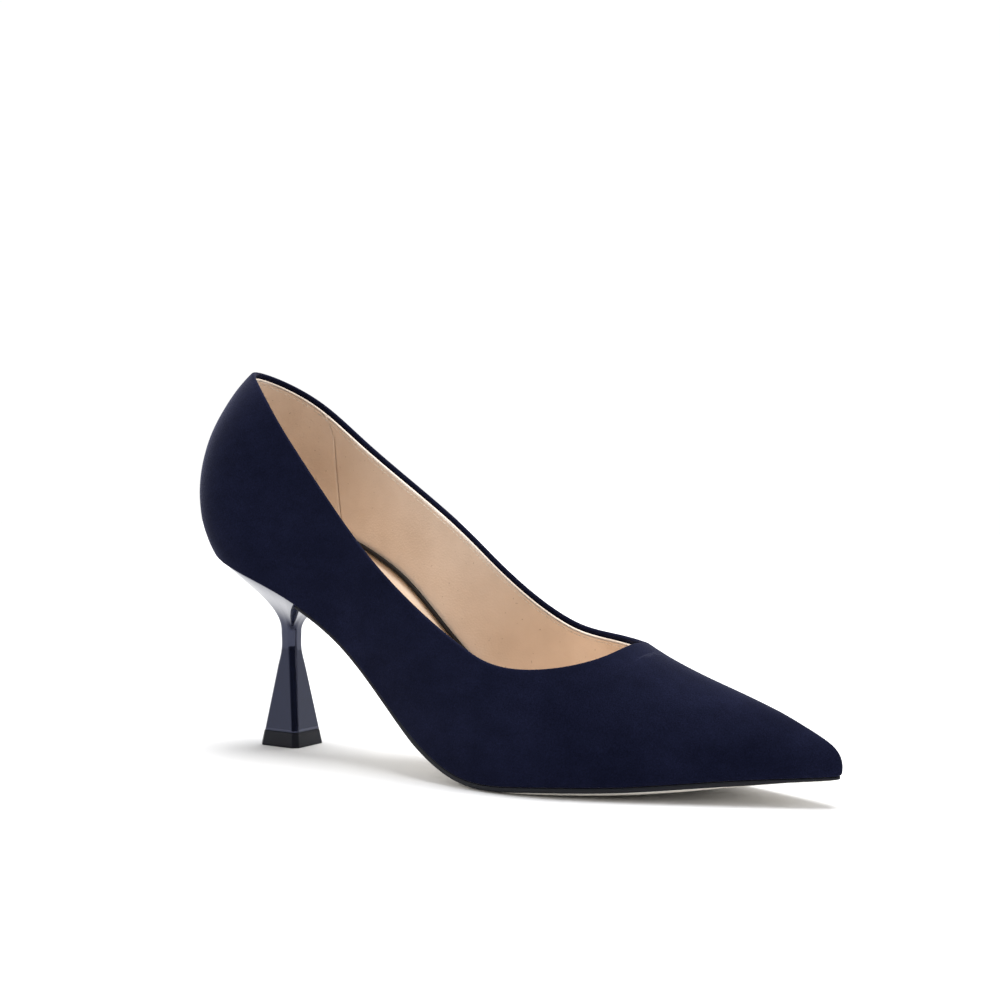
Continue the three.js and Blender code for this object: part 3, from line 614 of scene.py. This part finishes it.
def sock_material():
    """Cream sock leather: smooth, with a faint grain."""
    nodes = Nodes("sock_leather")
    mottled = nodes.noise(12, 3.0)
    fine = nodes.noise(0.5, 2.0)
    nodes.set(
        Base_Color=nodes.ramp(mottled, (0.75, 0.55, 0.385), (0.83, 0.63, 0.45)),
        Roughness=nodes.span(fine, 0.42, 0.55),
    )
    nodes.bump(fine, 0.05, 0.5)
    return nodes.material


def binding_material():
    nodes = Nodes("dark_binding")
    fine = nodes.noise(0.5, 2.0)
    nodes.set(Base_Color=nodes.ramp(fine, (0.006, 0.005, 0.005), (0.014, 0.011, 0.01)), Roughness=0.6)
    nodes.shader.inputs["Specular IOR Level"].default_value = 0.15
    nodes.bump(fine, 0.05, 0.6)
    return nodes.material


def thread_material():
    """Pale twisted thread."""
    nodes = Nodes("lining_thread")
    twist = nodes.noise(0.25, 1.0)
    nodes.set(Base_Color=nodes.ramp(twist, (0.62, 0.54, 0.46), (0.85, 0.79, 0.7)), Roughness=0.7)
    nodes.bump(twist, 0.04, 0.8)
    return nodes.material


def edge_paint_material():
    """Black paint on the edge of the sole."""
    nodes = Nodes("sole_edge_paint")
    fine = nodes.noise(0.8, 3.0)
    nodes.set(
        Base_Color=nodes.ramp(fine, (0.004, 0.0045, 0.008), (0.008, 0.009, 0.014)),
        Roughness=nodes.span(fine, 0.5, 0.65),
    )
    nodes.shader.inputs["Specular IOR Level"].default_value = 0.25
    nodes.bump(fine, 0.05, 0.5)
    return nodes.material


def sole_material():
    """Pale sole leather, buffed, with fine scratches along the shoe."""
    nodes = Nodes("sole_leather")
    mottled = nodes.noise(14, 4.0, rough=0.6)
    scratches = nodes.noise(0.6, 3.0, stretch=(0.08, 1, 1))
    pores = nodes.noise(0.35, 1.0)
    colour = nodes.ramp(mottled, (0.8, 0.76, 0.68), (0.9, 0.86, 0.79))
    marks = nodes.ramp(scratches, (0.88, 0.86, 0.84), (1.03, 1.03, 1.03), 0.3, 0.6)
    nodes.set(Base_Color=nodes.multiply(colour, marks), Roughness=nodes.span(mottled, 0.4, 0.55))
    nodes.bump(pores, 0.04, 0.4)
    return nodes.material


def lacquer_material():
    """Deep navy lacquer, polished, with a trace of orange peel."""
    nodes = Nodes("heel_lacquer")
    peel = nodes.noise(3.5, 1.0)
    dust = nodes.noise(9, 4.0)
    nodes.set(
        Base_Color=nodes.ramp(dust, (0.003, 0.004, 0.0125), (0.0042, 0.0055, 0.0155)),
        Roughness=0.07,
    )
    nodes.shader.inputs["Specular IOR Level"].default_value = 0.7
    nodes.shader.inputs["Specular Tint"].default_value = (0.64, 0.69, 1.0, 1.0)
    nodes.bump(peel, 0.02, 0.25)
    return nodes.material


def rubber_material():
    """Satin moulded polyurethane of the top piece."""
    nodes = Nodes("top_piece_rubber")
    fine = nodes.noise(0.5, 3.0)
    nodes.set(
        Base_Color=nodes.ramp(fine, (0.004, 0.0047, 0.01), (0.0075, 0.0085, 0.0155)),
        Roughness=nodes.span(fine, 0.42, 0.54),
    )
    nodes.shader.inputs["Specular IOR Level"].default_value = 0.22
    nodes.bump(fine, 0.03, 0.5)
    return nodes.material


def fibrous_material(name, low, high, size_mm, roughness):
    """Board, cork, foam and cloth inside the shoe: a mottled matt surface with its own grain."""
    nodes = Nodes(name)
    grain = nodes.noise(size_mm, 3.0, rough=0.6)
    nodes.set(Base_Color=nodes.ramp(grain, low, high), Roughness=roughness)
    nodes.bump(grain, 0.15 * size_mm, 0.5)
    return nodes.material


def steel_material():
    nodes = Nodes("bright_steel")
    drawn = nodes.noise(0.5, 2.0, stretch=(1, 1, 0.1))
    nodes.set(
        Base_Color=nodes.ramp(drawn, (0.42, 0.43, 0.45), (0.58, 0.59, 0.6)),
        Roughness=nodes.span(drawn, 0.25, 0.42), Metallic=1.0,
    )
    return nodes.material


SUEDE_SKIN = suede_material()
LINING = lining_material()
SOCK = sock_material()
BINDING = binding_material()
THREAD = thread_material()
EDGE_PAINT = edge_paint_material()
SOLE_LEATHER = sole_material()
LACQUER = lacquer_material()
RUBBER = rubber_material()
STEEL = steel_material()
STIFFENER = fibrous_material("stiffener_sheet", (0.55, 0.5, 0.42), (0.7, 0.65, 0.56), 0.8, 0.85)
TAPE = fibrous_material("woven_tape", (0.7, 0.69, 0.66), (0.85, 0.84, 0.8), 0.4, 0.8)
BOARD = fibrous_material("fibre_board", (0.26, 0.18, 0.1), (0.38, 0.27, 0.16), 1.2, 0.85)
CORK = fibrous_material("cork_sheet", (0.16, 0.1, 0.055), (0.4, 0.27, 0.15), 1.6, 0.95)
FOAM = fibrous_material("latex_foam", (0.72, 0.66, 0.5), (0.84, 0.79, 0.64), 0.6, 0.9)


# ------------------------------------------------------------------- upper

def ripple(points, normals, size, depth):
    """Moves points along their normals by soft unevenness, as hand lasting leaves it."""
    shift = np.array([noise.noise(Vector(p) / size) for p in points.reshape(-1, 3)])
    return points + normals * (shift * depth).reshape(*points.shape[:-1], 1)


def back_seam(rows_u):
    """Depth of the closed seam down the centre back."""
    away = np.abs(rows_u - HEEL_BACK) * 24
    return BACK_SEAM_DEPTH * np.exp(-(away / BACK_SEAM_HALF) ** 2)


def suede_upper():
    """One piece of suede, folded over at the topline and tucked under at the feather edge."""
    surface = Surface()
    base = COLUMNS[:, 0]
    f = feather(base)

    def under(inset, height):
        inset = np.broadcast_to(inset, base.shape)
        return on_bottom(inset_edge(base, inset), height)

    # The wall starts where the rounding of the feather edge ends.
    first = foot_rows(COLUMNS, FEATHER_ROUND)
    rows = np.linspace(0, 1, 46)
    share = mix(first, 1.0, rows[:, None])
    u = mix(COLUMNS[:, 0], COLUMNS[:, 1], share)
    t = share * COLUMNS[:, 2]
    inner_way = inward(u, t)
    face = skin(u, t)
    at_band = smooth((side_of(base) - THROAT + 1.5) / 0.8)
    fade = smooth(rows[:, None] / 0.1) * mix(1.0, smooth((1 - rows[:, None]) / 0.1), at_band)
    dent = ripple(face, inner_way, 24, 0.22) - face
    face = face + dent * fade[..., None] + inner_way * back_seam(u)[..., None]
    surface.grid(face)

    # Rounded feather edge and the margin under the insole.
    start = under(FEATHER_ROUND, 0.0)
    turn = np.linspace(0, 1, 7)[:, None, None]
    surface.grid((1 - turn) ** 2 * start + 2 * turn * (1 - turn) * f + turn**2 * face[0])
    inset = margin_inset(base)
    surface.grid(np.stack([under(inset, 0.0), under(mix(inset, FEATHER_ROUND, 0.5), 0.0), start]))

    # Inner face.
    inner_rows = np.linspace(0, 1, 20)
    inner = wall_from(COLUMNS, first, inner_rows, SUEDE)
    surface.grid(np.stack([under(inset, 0.0), under(inset, SUEDE), under(SUEDE * 1.3, SUEDE), inner[0]]))
    surface.grid(inner)

    # Band along the topline, with the fold.
    radius = FOLD_IN / 2
    outer_rows = np.array([BAND, 6, 5.1, 4.3, 3.6, 3, 2.5, 2, 1.5])
    seam = back_seam(REAR[:, 3])
    depths = np.zeros((len(outer_rows), 1)) + seam
    surface.grid(band(REAR, outer_rows, depths), wrap=True)
    angle = np.linspace(0, math.pi, 13)
    crown = radius * (1 - np.sin(angle)) - FOLD_LIFT
    fold_away = np.concatenate([[1.5], crown, [1.5, 3, FOLD_DEPTH]])
    fold_depth = np.concatenate([[0], radius * (1 - np.cos(angle)), [FOLD_IN] * 3])[:, None]
    fold_depth = fold_depth + seam * clamp01(1 - fold_depth / radius)
    surface.grid(band(REAR, fold_away, fold_depth), wrap=True)
    surface.grid(band(REAR, [FOLD_DEPTH, FOLD_DEPTH + 0.3, BAND], [FOLD_IN, SUEDE, SUEDE]), wrap=True)
    return place(surface.piece("suede_upper_skin", SUEDE_SKIN), "suede", "suede_upper")


suede_upper()


# ------------------------------------------------------------------ lining

def shell(columns, foot, rows, outer, inner, drop, edge_round):
    """Closed sheet between two depths, from its foot to a distance below the topline.
    Its inner face is eased by edge_round along the first and last columns."""
    surface = Surface()
    last = len(columns) - 1
    thin = np.zeros(len(columns))
    thin[[0, last]] = edge_round
    outer_wall = wall_from(columns, foot, rows, np.full((len(rows), len(columns)), outer))
    inner_wall = wall_from(columns, foot, rows, np.tile(inner - thin, (len(rows), 1)))
    surface.grid(outer_wall)
    surface.grid(inner_wall)
    surface.grid(np.stack([outer_wall[0], inner_wall[0]]))
    # Band rows: up the outer face, round the top edge, and down the inner face.
    away = np.linspace(BAND, drop + 0.3, 9)
    turn = np.linspace(0, math.pi, 7)
    half = (inner - outer) / 2
    round_away = drop + half * 0.8 * (1 - np.sin(turn))
    round_depth = (outer + half * (1 - np.cos(turn)))[:, None]
    rear = columns[:, 7] > 0
    runs = np.split(np.arange(len(columns)), np.flatnonzero(np.diff(rear)) + 1)
    for run in (run for run in runs if rear[run[0]]):
        group = columns[run]
        out_face = band(group, away, outer)
        edge = band(group, round_away, round_depth - thin[run] * (round_depth > outer + half))
        in_face = band(group, away, np.tile(inner - thin[run], (len(away), 1)))
        surface.grid(out_face)
        surface.grid(in_face)
        surface.grid(np.concatenate([out_face[-1:], edge, in_face[-1:]]))
        for k in (0, -1):
            if run[k] in (0, last):
                strip = np.concatenate([out_face[:, k], edge[:, k], in_face[::-1, k]])
                left = strip[:len(strip) // 2 + 1]
                surface.grid(np.stack([left, strip[::-1][:len(left)]]))
    for k in (0, last):
        surface.grid(np.stack([outer_wall[:, k], inner_wall[:, k]]))
    return surface


def lining_columns():
    """Columns ahead of the grip seam, through the toe, and columns behind it, round the heel."""
    outer_cut = FRONT_COLUMNS + np.searchsorted(SHARES, OUTER_SEAM)
    inner_cut = FRONT_COLUMNS + np.searchsorted(INNER_SHARES, INNER_SEAM)
    vamp = np.concatenate([INNER[:inner_cut][::-1], OUTER[1:outer_cut]])
    grip = np.concatenate([OUTER[outer_cut:], INNER[inner_cut:][::-1][1:]])
    return vamp, grip


def linings():
    vamp, grip = lining_columns()
    rows = np.linspace(0, 1, 34)
    for name, columns in (("vamp_lining", vamp), ("heel_grip_lining", grip)):
        foot = foot_rows(columns, WALL_FOOT)
        surface = shell(columns, foot, rows, LINING_OUT, LINING_IN, LINING_EDGE_DROP, SEAM_EASE)
        place(surface.piece(name + "_leather", LINING), "lining_leather", name)


linings()


def stitch_row(surface, points, normals):
    """Separate stitches laid along a path, each a small capsule pressed into the leather."""
    run = np.concatenate([[0], np.cumsum(np.linalg.norm(np.diff(points, axis=0), axis=1))])
    count = int(run[-1] / (STITCH_LENGTH + STITCH_GAP))
    pitch = run[-1] / count

    def at(values, s):
        return np.array([np.interp(s, run, values[:, k]) for k in range(3)])

    for i in range(count):
        middle = (i + 0.5) * pitch
        a, b = at(points, middle - STITCH_LENGTH / 2), at(points, middle + STITCH_LENGTH / 2)
        along = unit(b - a)
        up = unit(at(normals, middle))
        across = unit(np.cross(along, up))
        up = np.cross(across, along)
        share = np.linspace(0, math.pi, 7)
        ring = np.linspace(0, 2 * math.pi, 8, endpoint=False)
        width = THREAD_RADIUS * np.sin(share) ** 0.6
        centre = (a + b) / 2 - np.cos(share)[:, None] * along * STITCH_LENGTH / 2 + up * THREAD_RADIUS * 0.25
        circle = np.cos(ring)[:, None] * across + np.sin(ring)[:, None] * up
        surface.grid(centre[:, None] + width[:, None, None] * circle, wrap=True)


def stitching():
    """Row of stitches along the topline, through the lining."""
    surface = Surface()
    line = STITCH_LINE + LINING_EDGE_DROP
    for side in (OUTER, INNER):
        rear = side[side[:, 7] > 0]
        points = band(rear, [line], LINING_IN)[0]
        normals = inward(rear[:, 3] + line * rear[:, 5], np.minimum(rear[:, 4] + line * rear[:, 6], 1))
        stitch_row(surface, points, normals)
    return place(surface.piece("topline_stitching", THREAD), "lining_leather")


stitching()


def sheet(name, material, outer, inner, *fate):
    """Closed sheet between two grids of points."""
    surface = Surface()
    surface.grid(outer)
    surface.grid(inner)
    for edge in (np.s_[0], np.s_[-1], np.s_[:, 0], np.s_[:, -1]):
        surface.grid(np.stack([outer[edge], inner[edge]]))
    return place(surface.piece(name, material), *fate)


def stiffeners():
    """Toe puff, heel counter and topline tape, between the suede and the lining."""
    puff = np.concatenate([INNER[:34][::-1], OUTER[1:34]])
    start = FRONT_COLUMNS + np.searchsorted(SHARES, OUTER_SEAM) - 16
    counter = np.concatenate([OUTER[start:], INNER[start:][::-1][1:]])
    for name, node, columns, reach in (
        ("toe_puff_sheet", "toe_puff", puff, 1.0),
        ("heel_counter_sheet", "heel_counter", counter, 0.93),
    ):
        rows = np.linspace(0, reach, 20)
        foot = foot_rows(columns, WALL_FOOT + 0.4)
        faces = [wall_from(columns, foot, rows, depth) for depth in (STIFFENER_OUT, STIFFENER_IN)]
        sheet(name, STIFFENER, *faces, "stiffener", node)
    tape = REAR[side_of(REAR[:, 3]) > THROAT + 0.3]
    rows = np.linspace(TAPE_TOP + 3, TAPE_TOP, 4)
    faces = [band(tape, rows, depth) for depth in (STIFFENER_OUT, STIFFENER_IN)]
    sheet("topline_tape_strip", TAPE, *faces, "tape", "topline_tape")


stiffeners()


# ------------------------------------------------------------------ bottom

def slab_rows(girths, profile):
    """Sections of a layer over the insole: each profile entry is (share from the spine, height)."""
    middle = spine(girths)
    edge = inset_edge(girths, np.broadcast_to(SOCK_INSET, girths.shape))
    rows = []
    for share, height in profile:
        p = middle + (edge - middle) * share
        value = height(p[:, 0], share) if callable(height) else height
        rows.append(on_bottom(p, value))
    return np.stack(rows)


def sock_edge_height(u):
    """Height of the sock's edge, which turns up against the wall behind the toes."""
    v = side_of(u)
    flat = PAD_LOW + 0.05 + SOCK_GAP + SOCK_THICK
    return flat + SOCK_RISE * smooth((v - 2) / 1.5) + 0.5 * smooth((v - 7.3) / 0.6)


def sock_lining():
    """Cream sock over the cushions, its edge turned up against the wall."""
    girths = COLUMNS[:, 0]
    rise = sock_edge_height(girths)

    def low(x, share):
        return pad_top(x, share) + SOCK_GAP

    def high(x, share):
        return low(x, share) + SOCK_THICK

    def turned_up(flat, height):
        """Rows from the flat of the sock to its edge on the wall."""
        start = slab_rows(girths, [(0.93, flat)])[0]
        bend = inset_edge(girths, np.broadcast_to(SOCK_BEND, girths.shape))
        corner = on_bottom(bend, flat(start[:, 0], 1.0) + 0.1)
        end = on_wall(COLUMNS, height, SOCK_DEPTH)
        turn = np.linspace(0, 1, 6)[:, None, None]
        return (1 - turn) ** 2 * start + 2 * turn * (1 - turn) * corner + turn**2 * end

    upper = slab_rows(girths, [(s, high) for s in np.linspace(0, 0.86, 20)])
    lower = slab_rows(girths, [(s, low) for s in (0.86, 0.6, 0.3, 0.0)])
    over = turned_up(high, rise - 0.12)
    under = turned_up(low, rise - SOCK_THICK)[::-1]
    lip = on_wall(COLUMNS, rise - 0.4, SOCK_DEPTH - 0.08)
    surface = Surface()
    surface.grid(np.concatenate([upper, over, lip[None], under, lower]), wrap=True)
    return place(surface.piece("sock_cover", SOCK), "sock_leather", "sock_lining")


sock_lining()


def edge_binding():
    """Dark bead that hides the sock's edge."""
    columns = COLUMNS[side_of(COLUMNS[:, 0]) > 2.2]
    middle = sock_edge_height(columns[:, 0]) + 0.15 + BEAD
    rings = []
    for angle in np.linspace(0, 2 * math.pi, 13)[:-1]:
        depth = SOCK_DEPTH - 0.05 + BEAD - BEAD * math.cos(angle)
        rings.append(on_wall(columns, middle + BEAD * math.sin(angle), depth))
    rings = np.stack(rings, 1)
    surface = Surface()
    surface.grid(rings, wrap=True)
    surface.fan(rings[0])
    surface.fan(rings[-1])
    return place(surface.piece("sock_edge_bead", BINDING), "dark_binding", "sock_edge_binding")


edge_binding()


def cushion(name, girths, node):
    """Foam pad under the sock: crowned above, flat on the insole, with rounded edges."""
    share_top = 0.7
    surface = Surface()
    profile = [(s, pad_top) for s in np.linspace(0, share_top * 0.93, 12)]
    profile += [(share_top * 0.98, lambda x, s: mix(PAD_LOW, pad_top(x, s), 0.75))]
    profile += [(share_top, lambda x, s: mix(PAD_LOW, pad_top(x, s), 0.4))]
    profile += [(share_top * 0.985, PAD_LOW), (share_top * 0.5, PAD_LOW), (0.0, PAD_LOW)]
    rows = slab_rows(girths, profile)
    surface.grid(rows)
    for k in (0, -1):
        section = rows[:, k]
        half = len(section) // 2
        surface.grid(np.stack([section[:half], section[::-1][:half]]))
    piece = place(surface.piece(name, FOAM), "foam", node)
    return piece


def cushions():
    heel = np.linspace(7.75, LOOP - 7.75, 60)
    cushion("heel_cushion", heel, "heel_cushion_pad")
    ball = np.concatenate([np.linspace(5.2, 3.0, 30), LOOP - np.linspace(3.0, 5.2, 30)])
    cushion("forefoot_cushion", ball, "forefoot_cushion_pad")


cushions()


def sole_thickness(x):
    """Thickness of the sole: thin at the waist, full under the ball, thinner again to the toe."""
    thickness = mix(SOLE_WAIST, SOLE_FOREPART, smooth((x - WAIST_FRONT_X) / 35))
    return thickness * (1 - TOE_THINNING * smooth((x - TOE_THINNING_X) / 50))


def outsole():
    """Thin leather sole: black painted edge, pale bevel and tread."""
    breast = station_at(BREAST_X + 0.4)
    v = np.linspace(0, 1, 150)
    v = breast * mix(v, v**2, 0.2)
    girths = np.concatenate([v[::-1], LOOP - v[1:]])
    middle = spine(girths)

    def edge(inset):
        return inset_edge(girths, np.broadcast_to(inset, girths.shape))

    def low(p):
        q = on_bottom(p, SOLE_GAP - sole_thickness(p[:, 0]))
        q[:, 2] = np.maximum(q[:, 2], 0)
        return q

    rim = edge(SOLE_INSET)
    wall_height = np.minimum(SOLE_EDGE, sole_thickness(rim[:, 0]) - 0.6)
    bevel = edge(SOLE_INSET + SOLE_BEVEL)
    top = [on_bottom(middle, SOLE_GAP), on_bottom(mix(middle, rim, 0.5), SOLE_GAP)]
    top += [on_bottom(edge(SOLE_INSET + 0.4), SOLE_GAP)]
    side = [top[-1], on_bottom(edge(SOLE_INSET + 0.12), SOLE_GAP - 0.06), on_bottom(rim, SOLE_GAP - 0.3)]
    side += [on_bottom(rim, SOLE_GAP - wall_height * f) for f in (0.5, 0.75)]
    side += [on_bottom(edge(SOLE_INSET + 0.05), SOLE_GAP - wall_height * 0.95)]
    foot = on_bottom(edge(SOLE_INSET + 0.35), SOLE_GAP - wall_height - 0.1)
    side += [foot]
    tread = low(bevel)
    under = [foot, mix(foot, tread, 0.35), mix(foot, tread, 0.75), mix(foot, tread, 0.97) + (0, 0, 0.03)]
    under += [low(mix(bevel, middle, f)) for f in (0.04, 0.25, 0.5, 0.75, 1.0)]
    for rows in (top, side, under):
        for row in rows:
            row[:, 2] = np.maximum(row[:, 2], 0)
    surface = Surface()
    surface.grid(np.stack(top), 1)
    surface.grid(np.stack(side), 0)
    surface.grid(np.stack(under), 1)
    # The breast end, where the sole stops against the heel.
    section = np.concatenate([np.stack(top), np.stack(side[1:]), np.stack(under[1:])])
    for k in (0, -1):
        line = section[:, k]
        half = (len(line) + 1) // 2
        surface.grid(np.stack([line[:half], line[::-1][:half]]), 0)
    return place(surface.piece("sole_unit", EDGE_PAINT, SOLE_LEATHER), "sole_leather", "outsole")


outsole()


# -------------------------------------------------------------------- heel

def ring_plan(half, chamfer, setback):
    """Square with cut corners whose eight edges meet in small fillets."""
    reach = half - chamfer
    corners = []
    for quarter in range(4):
        c, s = math.cos(quarter * math.pi / 2), math.sin(quarter * math.pi / 2)
        for x, y in ((half, -reach), (half, reach)):
            corners.append(np.array((x * c - y * s, x * s + y * c)))
    points = []
    for i, corner in enumerate(corners):
        before = unit(corners[i - 1] - corner)
        after = unit(corners[(i + 1) % 8] - corner)
        start, end = corner + before * setback, corner + after * setback
        for f in np.linspace(0, 1, 7):
            points.append((1 - f) ** 2 * start + 2 * f * (1 - f) * corner + f**2 * end)
        far = corners[(i + 1) % 8] - after * setback
        long_face = i % 2 == 0
        shares = (0.03, 0.12, 0.35, 0.65, 0.88, 0.97) if long_face else (0.12, 0.5, 0.88)
        points += [end + (far - end) * f for f in shares]
    return np.array(points)


def heel_half(z):
    return mix(HEEL_HALF - HEEL_TAPER * z, NECK_HALF, smooth((z - NECK_Z + NECK_BLEND) / NECK_BLEND))


def seat_reach(angle):
    """Distance from the heel's axis to the edge of its seat."""
    reach = np.linspace(2, 60, 1200)
    x, y = reach * math.cos(angle), reach * math.sin(angle)
    v = station_at(x)
    inset = np.full(v.shape, SEAT_INSET)
    outer = inset_edge(v, inset)[:, 1]
    inner = inset_edge(LOOP - v, inset)[:, 1]
    inside = (x < BREAST_X) & (x > -28 + SEAT_INSET) & (y > outer) & (y < inner)
    return reach[np.argmin(inside)]


def heel_body():
    """Square foot, eight-sided neck and a flare that spreads to the seat."""
    levels = np.concatenate([[HEEL_FOOT, HEEL_FOOT + 0.02, HEEL_FOOT + 0.06], np.linspace(6.5, NECK_Z, 44)])
    tucks = np.concatenate([[0.05, 0.015, 0.0], np.zeros(44)])
    rings = []
    for z, tuck in zip(levels, tucks):
        chamfer = mix(HEEL_CHAMFER, HEEL_CHAMFER + 0.3, z / NECK_Z)
        setback = mix(0.32, 0.62, smooth((z - 10) / 30))
        plan = ring_plan(heel_half(z) - tuck, chamfer - tuck * 0.4, setback)
        rings.append(np.column_stack([plan, np.full(len(plan), z)]))
    neck = rings[-1]
    angles = np.arctan2(neck[:, 1], neck[:, 0])
    reach = np.array([seat_reach(a) for a in angles])
    plan = np.column_stack([reach * np.cos(angles), reach * np.sin(angles)])
    seat = on_bottom(plan, SOLE_GAP)
    end = seat - (0, 0, 0.8)
    rise = end[:, 2:] - NECK_Z
    up = np.array((0, 0, 1.0))
    low = neck + up * rise * 0.38
    high = mix(end, neck, 0.3)
    high[:, 2:] = end[:, 2:] - rise * 0.28
    for s in np.linspace(0, 1, 34)[1:]:
        start_part = (1 - s) ** 3 * neck + 3 * s * (1 - s) ** 2 * low
        rings.append(start_part + 3 * s**2 * (1 - s) * high + s**3 * end)
    rings.append(seat - (0, 0, 0.3))
    rings.append(on_bottom(plan * 0.99, SOLE_GAP))
    for share in (0.7, 0.35):
        rings.append(on_bottom(plan * share, SOLE_GAP))
    surface = Surface()
    surface.grid(np.stack(rings), wrap=True)
    surface.fan(rings[0])
    surface.fan(rings[-1])
    body = surface.piece("heel_lacquered", LACQUER)
    return place(body, "heel_lacquer", "heel", "heel_pin", "top_piece_dowel")


def top_piece():
    """Moulded wear piece under the heel, with eased edges."""
    height = TOP_PIECE_HEIGHT
    levels = (0, 0.1, 0.35, 0.8, 1.8, 3.2, 4.4, height - 0.14, height - 0.04, height)
    tucks = (0.32, 0.1, 0, 0, 0, 0, 0, 0, 0.04, 0.14)
    rings = []
    for z, tuck in zip(levels, tucks):
        half = HEEL_HALF - HEEL_TAPER * z - tuck
        plan = ring_plan(half, HEEL_CHAMFER - tuck * 0.4, 0.32)
        rings.append(np.column_stack([plan, np.full(len(plan), z)]))
    surface = Surface()
    surface.grid(np.stack(rings), wrap=True)
    surface.fan(rings[0])
    surface.fan(rings[-1])
    return place(surface.piece("top_piece_moulded", RUBBER), "top_piece_rubber", "top_piece")


heel_body()
top_piece()


# ---------------------------------------------------- CAD nodes that stay

def dress_cad_nodes():
    """Inner parts keep their CAD shape and get their real finish."""
    finishes = {
        "insole_board": BOARD, "shank": STEEL, "shank_rivet_rear": STEEL, "shank_rivet_front": STEEL,
        "forepart_filler": CORK, "heel_screw": STEEL,
        "heel_nail_1": STEEL, "heel_nail_2": STEEL, "heel_nail_3": STEEL, "heel_nail_4": STEEL,
    }
    for name, material in finishes.items():
        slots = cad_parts[name].material_slots
        for slot in slots:
            slot.material = material


dress_cad_nodes()


# ------------------------------------------------- floor, light and camera

CAMERA_AZIMUTH = 35
CAMERA_ELEVATION = 5.8
CAMERA_DISTANCE = 1.2
FLAG_AZIMUTH = 55
FLAG_ELEVATION = 12
FLAG_CORE = 24
FLAG_REACH = 68
FLAG_LIGHT = 0.08
STUDIO_LIGHT = 1.05
FLOOR_RADIUS = 0.75


def direction_from(azimuth, elevation):
    """Unit vector from the shoe towards a place round it, in degrees: 0 is the outer side, 90 the toe."""
    turn, lift = math.radians(azimuth), math.radians(elevation)
    return Vector((math.sin(turn) * math.cos(lift), -math.cos(turn) * math.cos(lift), math.sin(lift)))


def white_floor():
    nodes = Nodes("studio_floor")
    nodes.set(Base_Color=(0.78, 0.78, 0.784, 1), Roughness=0.9)
    nodes.shader.inputs["Specular IOR Level"].default_value = 0.1
    mesh = bpy.data.meshes.new("studio_floor")
    turns = np.linspace(0, 2 * math.pi, 65)[:-1]
    rim = [(FLOOR_RADIUS * math.cos(a), FLOOR_RADIUS * math.sin(a), 0) for a in turns]
    mesh.from_pydata(rim, [], [tuple(range(len(rim)))])
    mesh.materials.append(nodes.material)
    floor = bpy.data.objects.new("studio_floor", mesh)
    bpy.context.scene.collection.objects.link(floor)


def studio_world():
    """White surround for the camera; the light on the shoe has a dark flag beside the camera."""
    world = bpy.data.worlds.new("studio")
    world.use_nodes = True
    tree = world.node_tree
    background = tree.nodes["Background"]
    direction = tree.nodes.new("ShaderNodeTexCoord").outputs["Generated"]
    toward = tree.nodes.new("ShaderNodeVectorMath")
    toward.operation = "DOT_PRODUCT"
    tree.links.new(direction, toward.inputs[0])
    toward.inputs[1].default_value = direction_from(FLAG_AZIMUTH, FLAG_ELEVATION)
    flag = tree.nodes.new("ShaderNodeMapRange")
    tree.links.new(toward.outputs["Value"], flag.inputs["Value"])
    flag.inputs["From Min"].default_value = math.cos(math.radians(FLAG_REACH))
    flag.inputs["From Max"].default_value = math.cos(math.radians(FLAG_CORE))
    flag.inputs["To Min"].default_value = STUDIO_LIGHT
    flag.inputs["To Max"].default_value = FLAG_LIGHT
    seen = tree.nodes.new("ShaderNodeLightPath").outputs["Is Camera Ray"]
    strength = tree.nodes.new("ShaderNodeMix")
    tree.links.new(seen, strength.inputs[0])
    tree.links.new(flag.outputs["Result"], strength.inputs[2])
    strength.inputs[3].default_value = 1.02
    background.inputs["Color"].default_value = (1, 1, 1, 1)
    tree.links.new(strength.outputs[0], background.inputs["Strength"])
    bpy.context.scene.world = world


def area_light(name, place_at, aim, size, power):
    data = bpy.data.lights.new(name, "AREA")
    data.shape = "DISK"
    data.size = size
    data.energy = power
    light = bpy.data.objects.new(name, data)
    light.location = place_at
    way = Vector(place_at) - Vector(aim)
    light.rotation_euler = way.to_track_quat("Z", "Y").to_euler()
    bpy.context.scene.collection.objects.link(light)


def camera():
    back = direction_from(CAMERA_AZIMUTH, CAMERA_ELEVATION)
    data = bpy.data.cameras.new("camera")
    data.lens = 126.7
    data.sensor_width = 36
    data.clip_end = 100
    view = bpy.data.objects.new("camera", data)
    view.location = Vector((0.091, 0, 0.093)) + back * CAMERA_DISTANCE
    view.rotation_euler = back.to_track_quat("Z", "Y").to_euler()
    bpy.context.scene.collection.objects.link(view)
    bpy.context.scene.camera = view


white_floor()
studio_world()
area_light("overhead", (0.05, 0.25, 1.5), (0.09, 0, 0.03), 1.2, 36)
camera()
bpy.context.scene.view_settings.view_transform = "Standard"
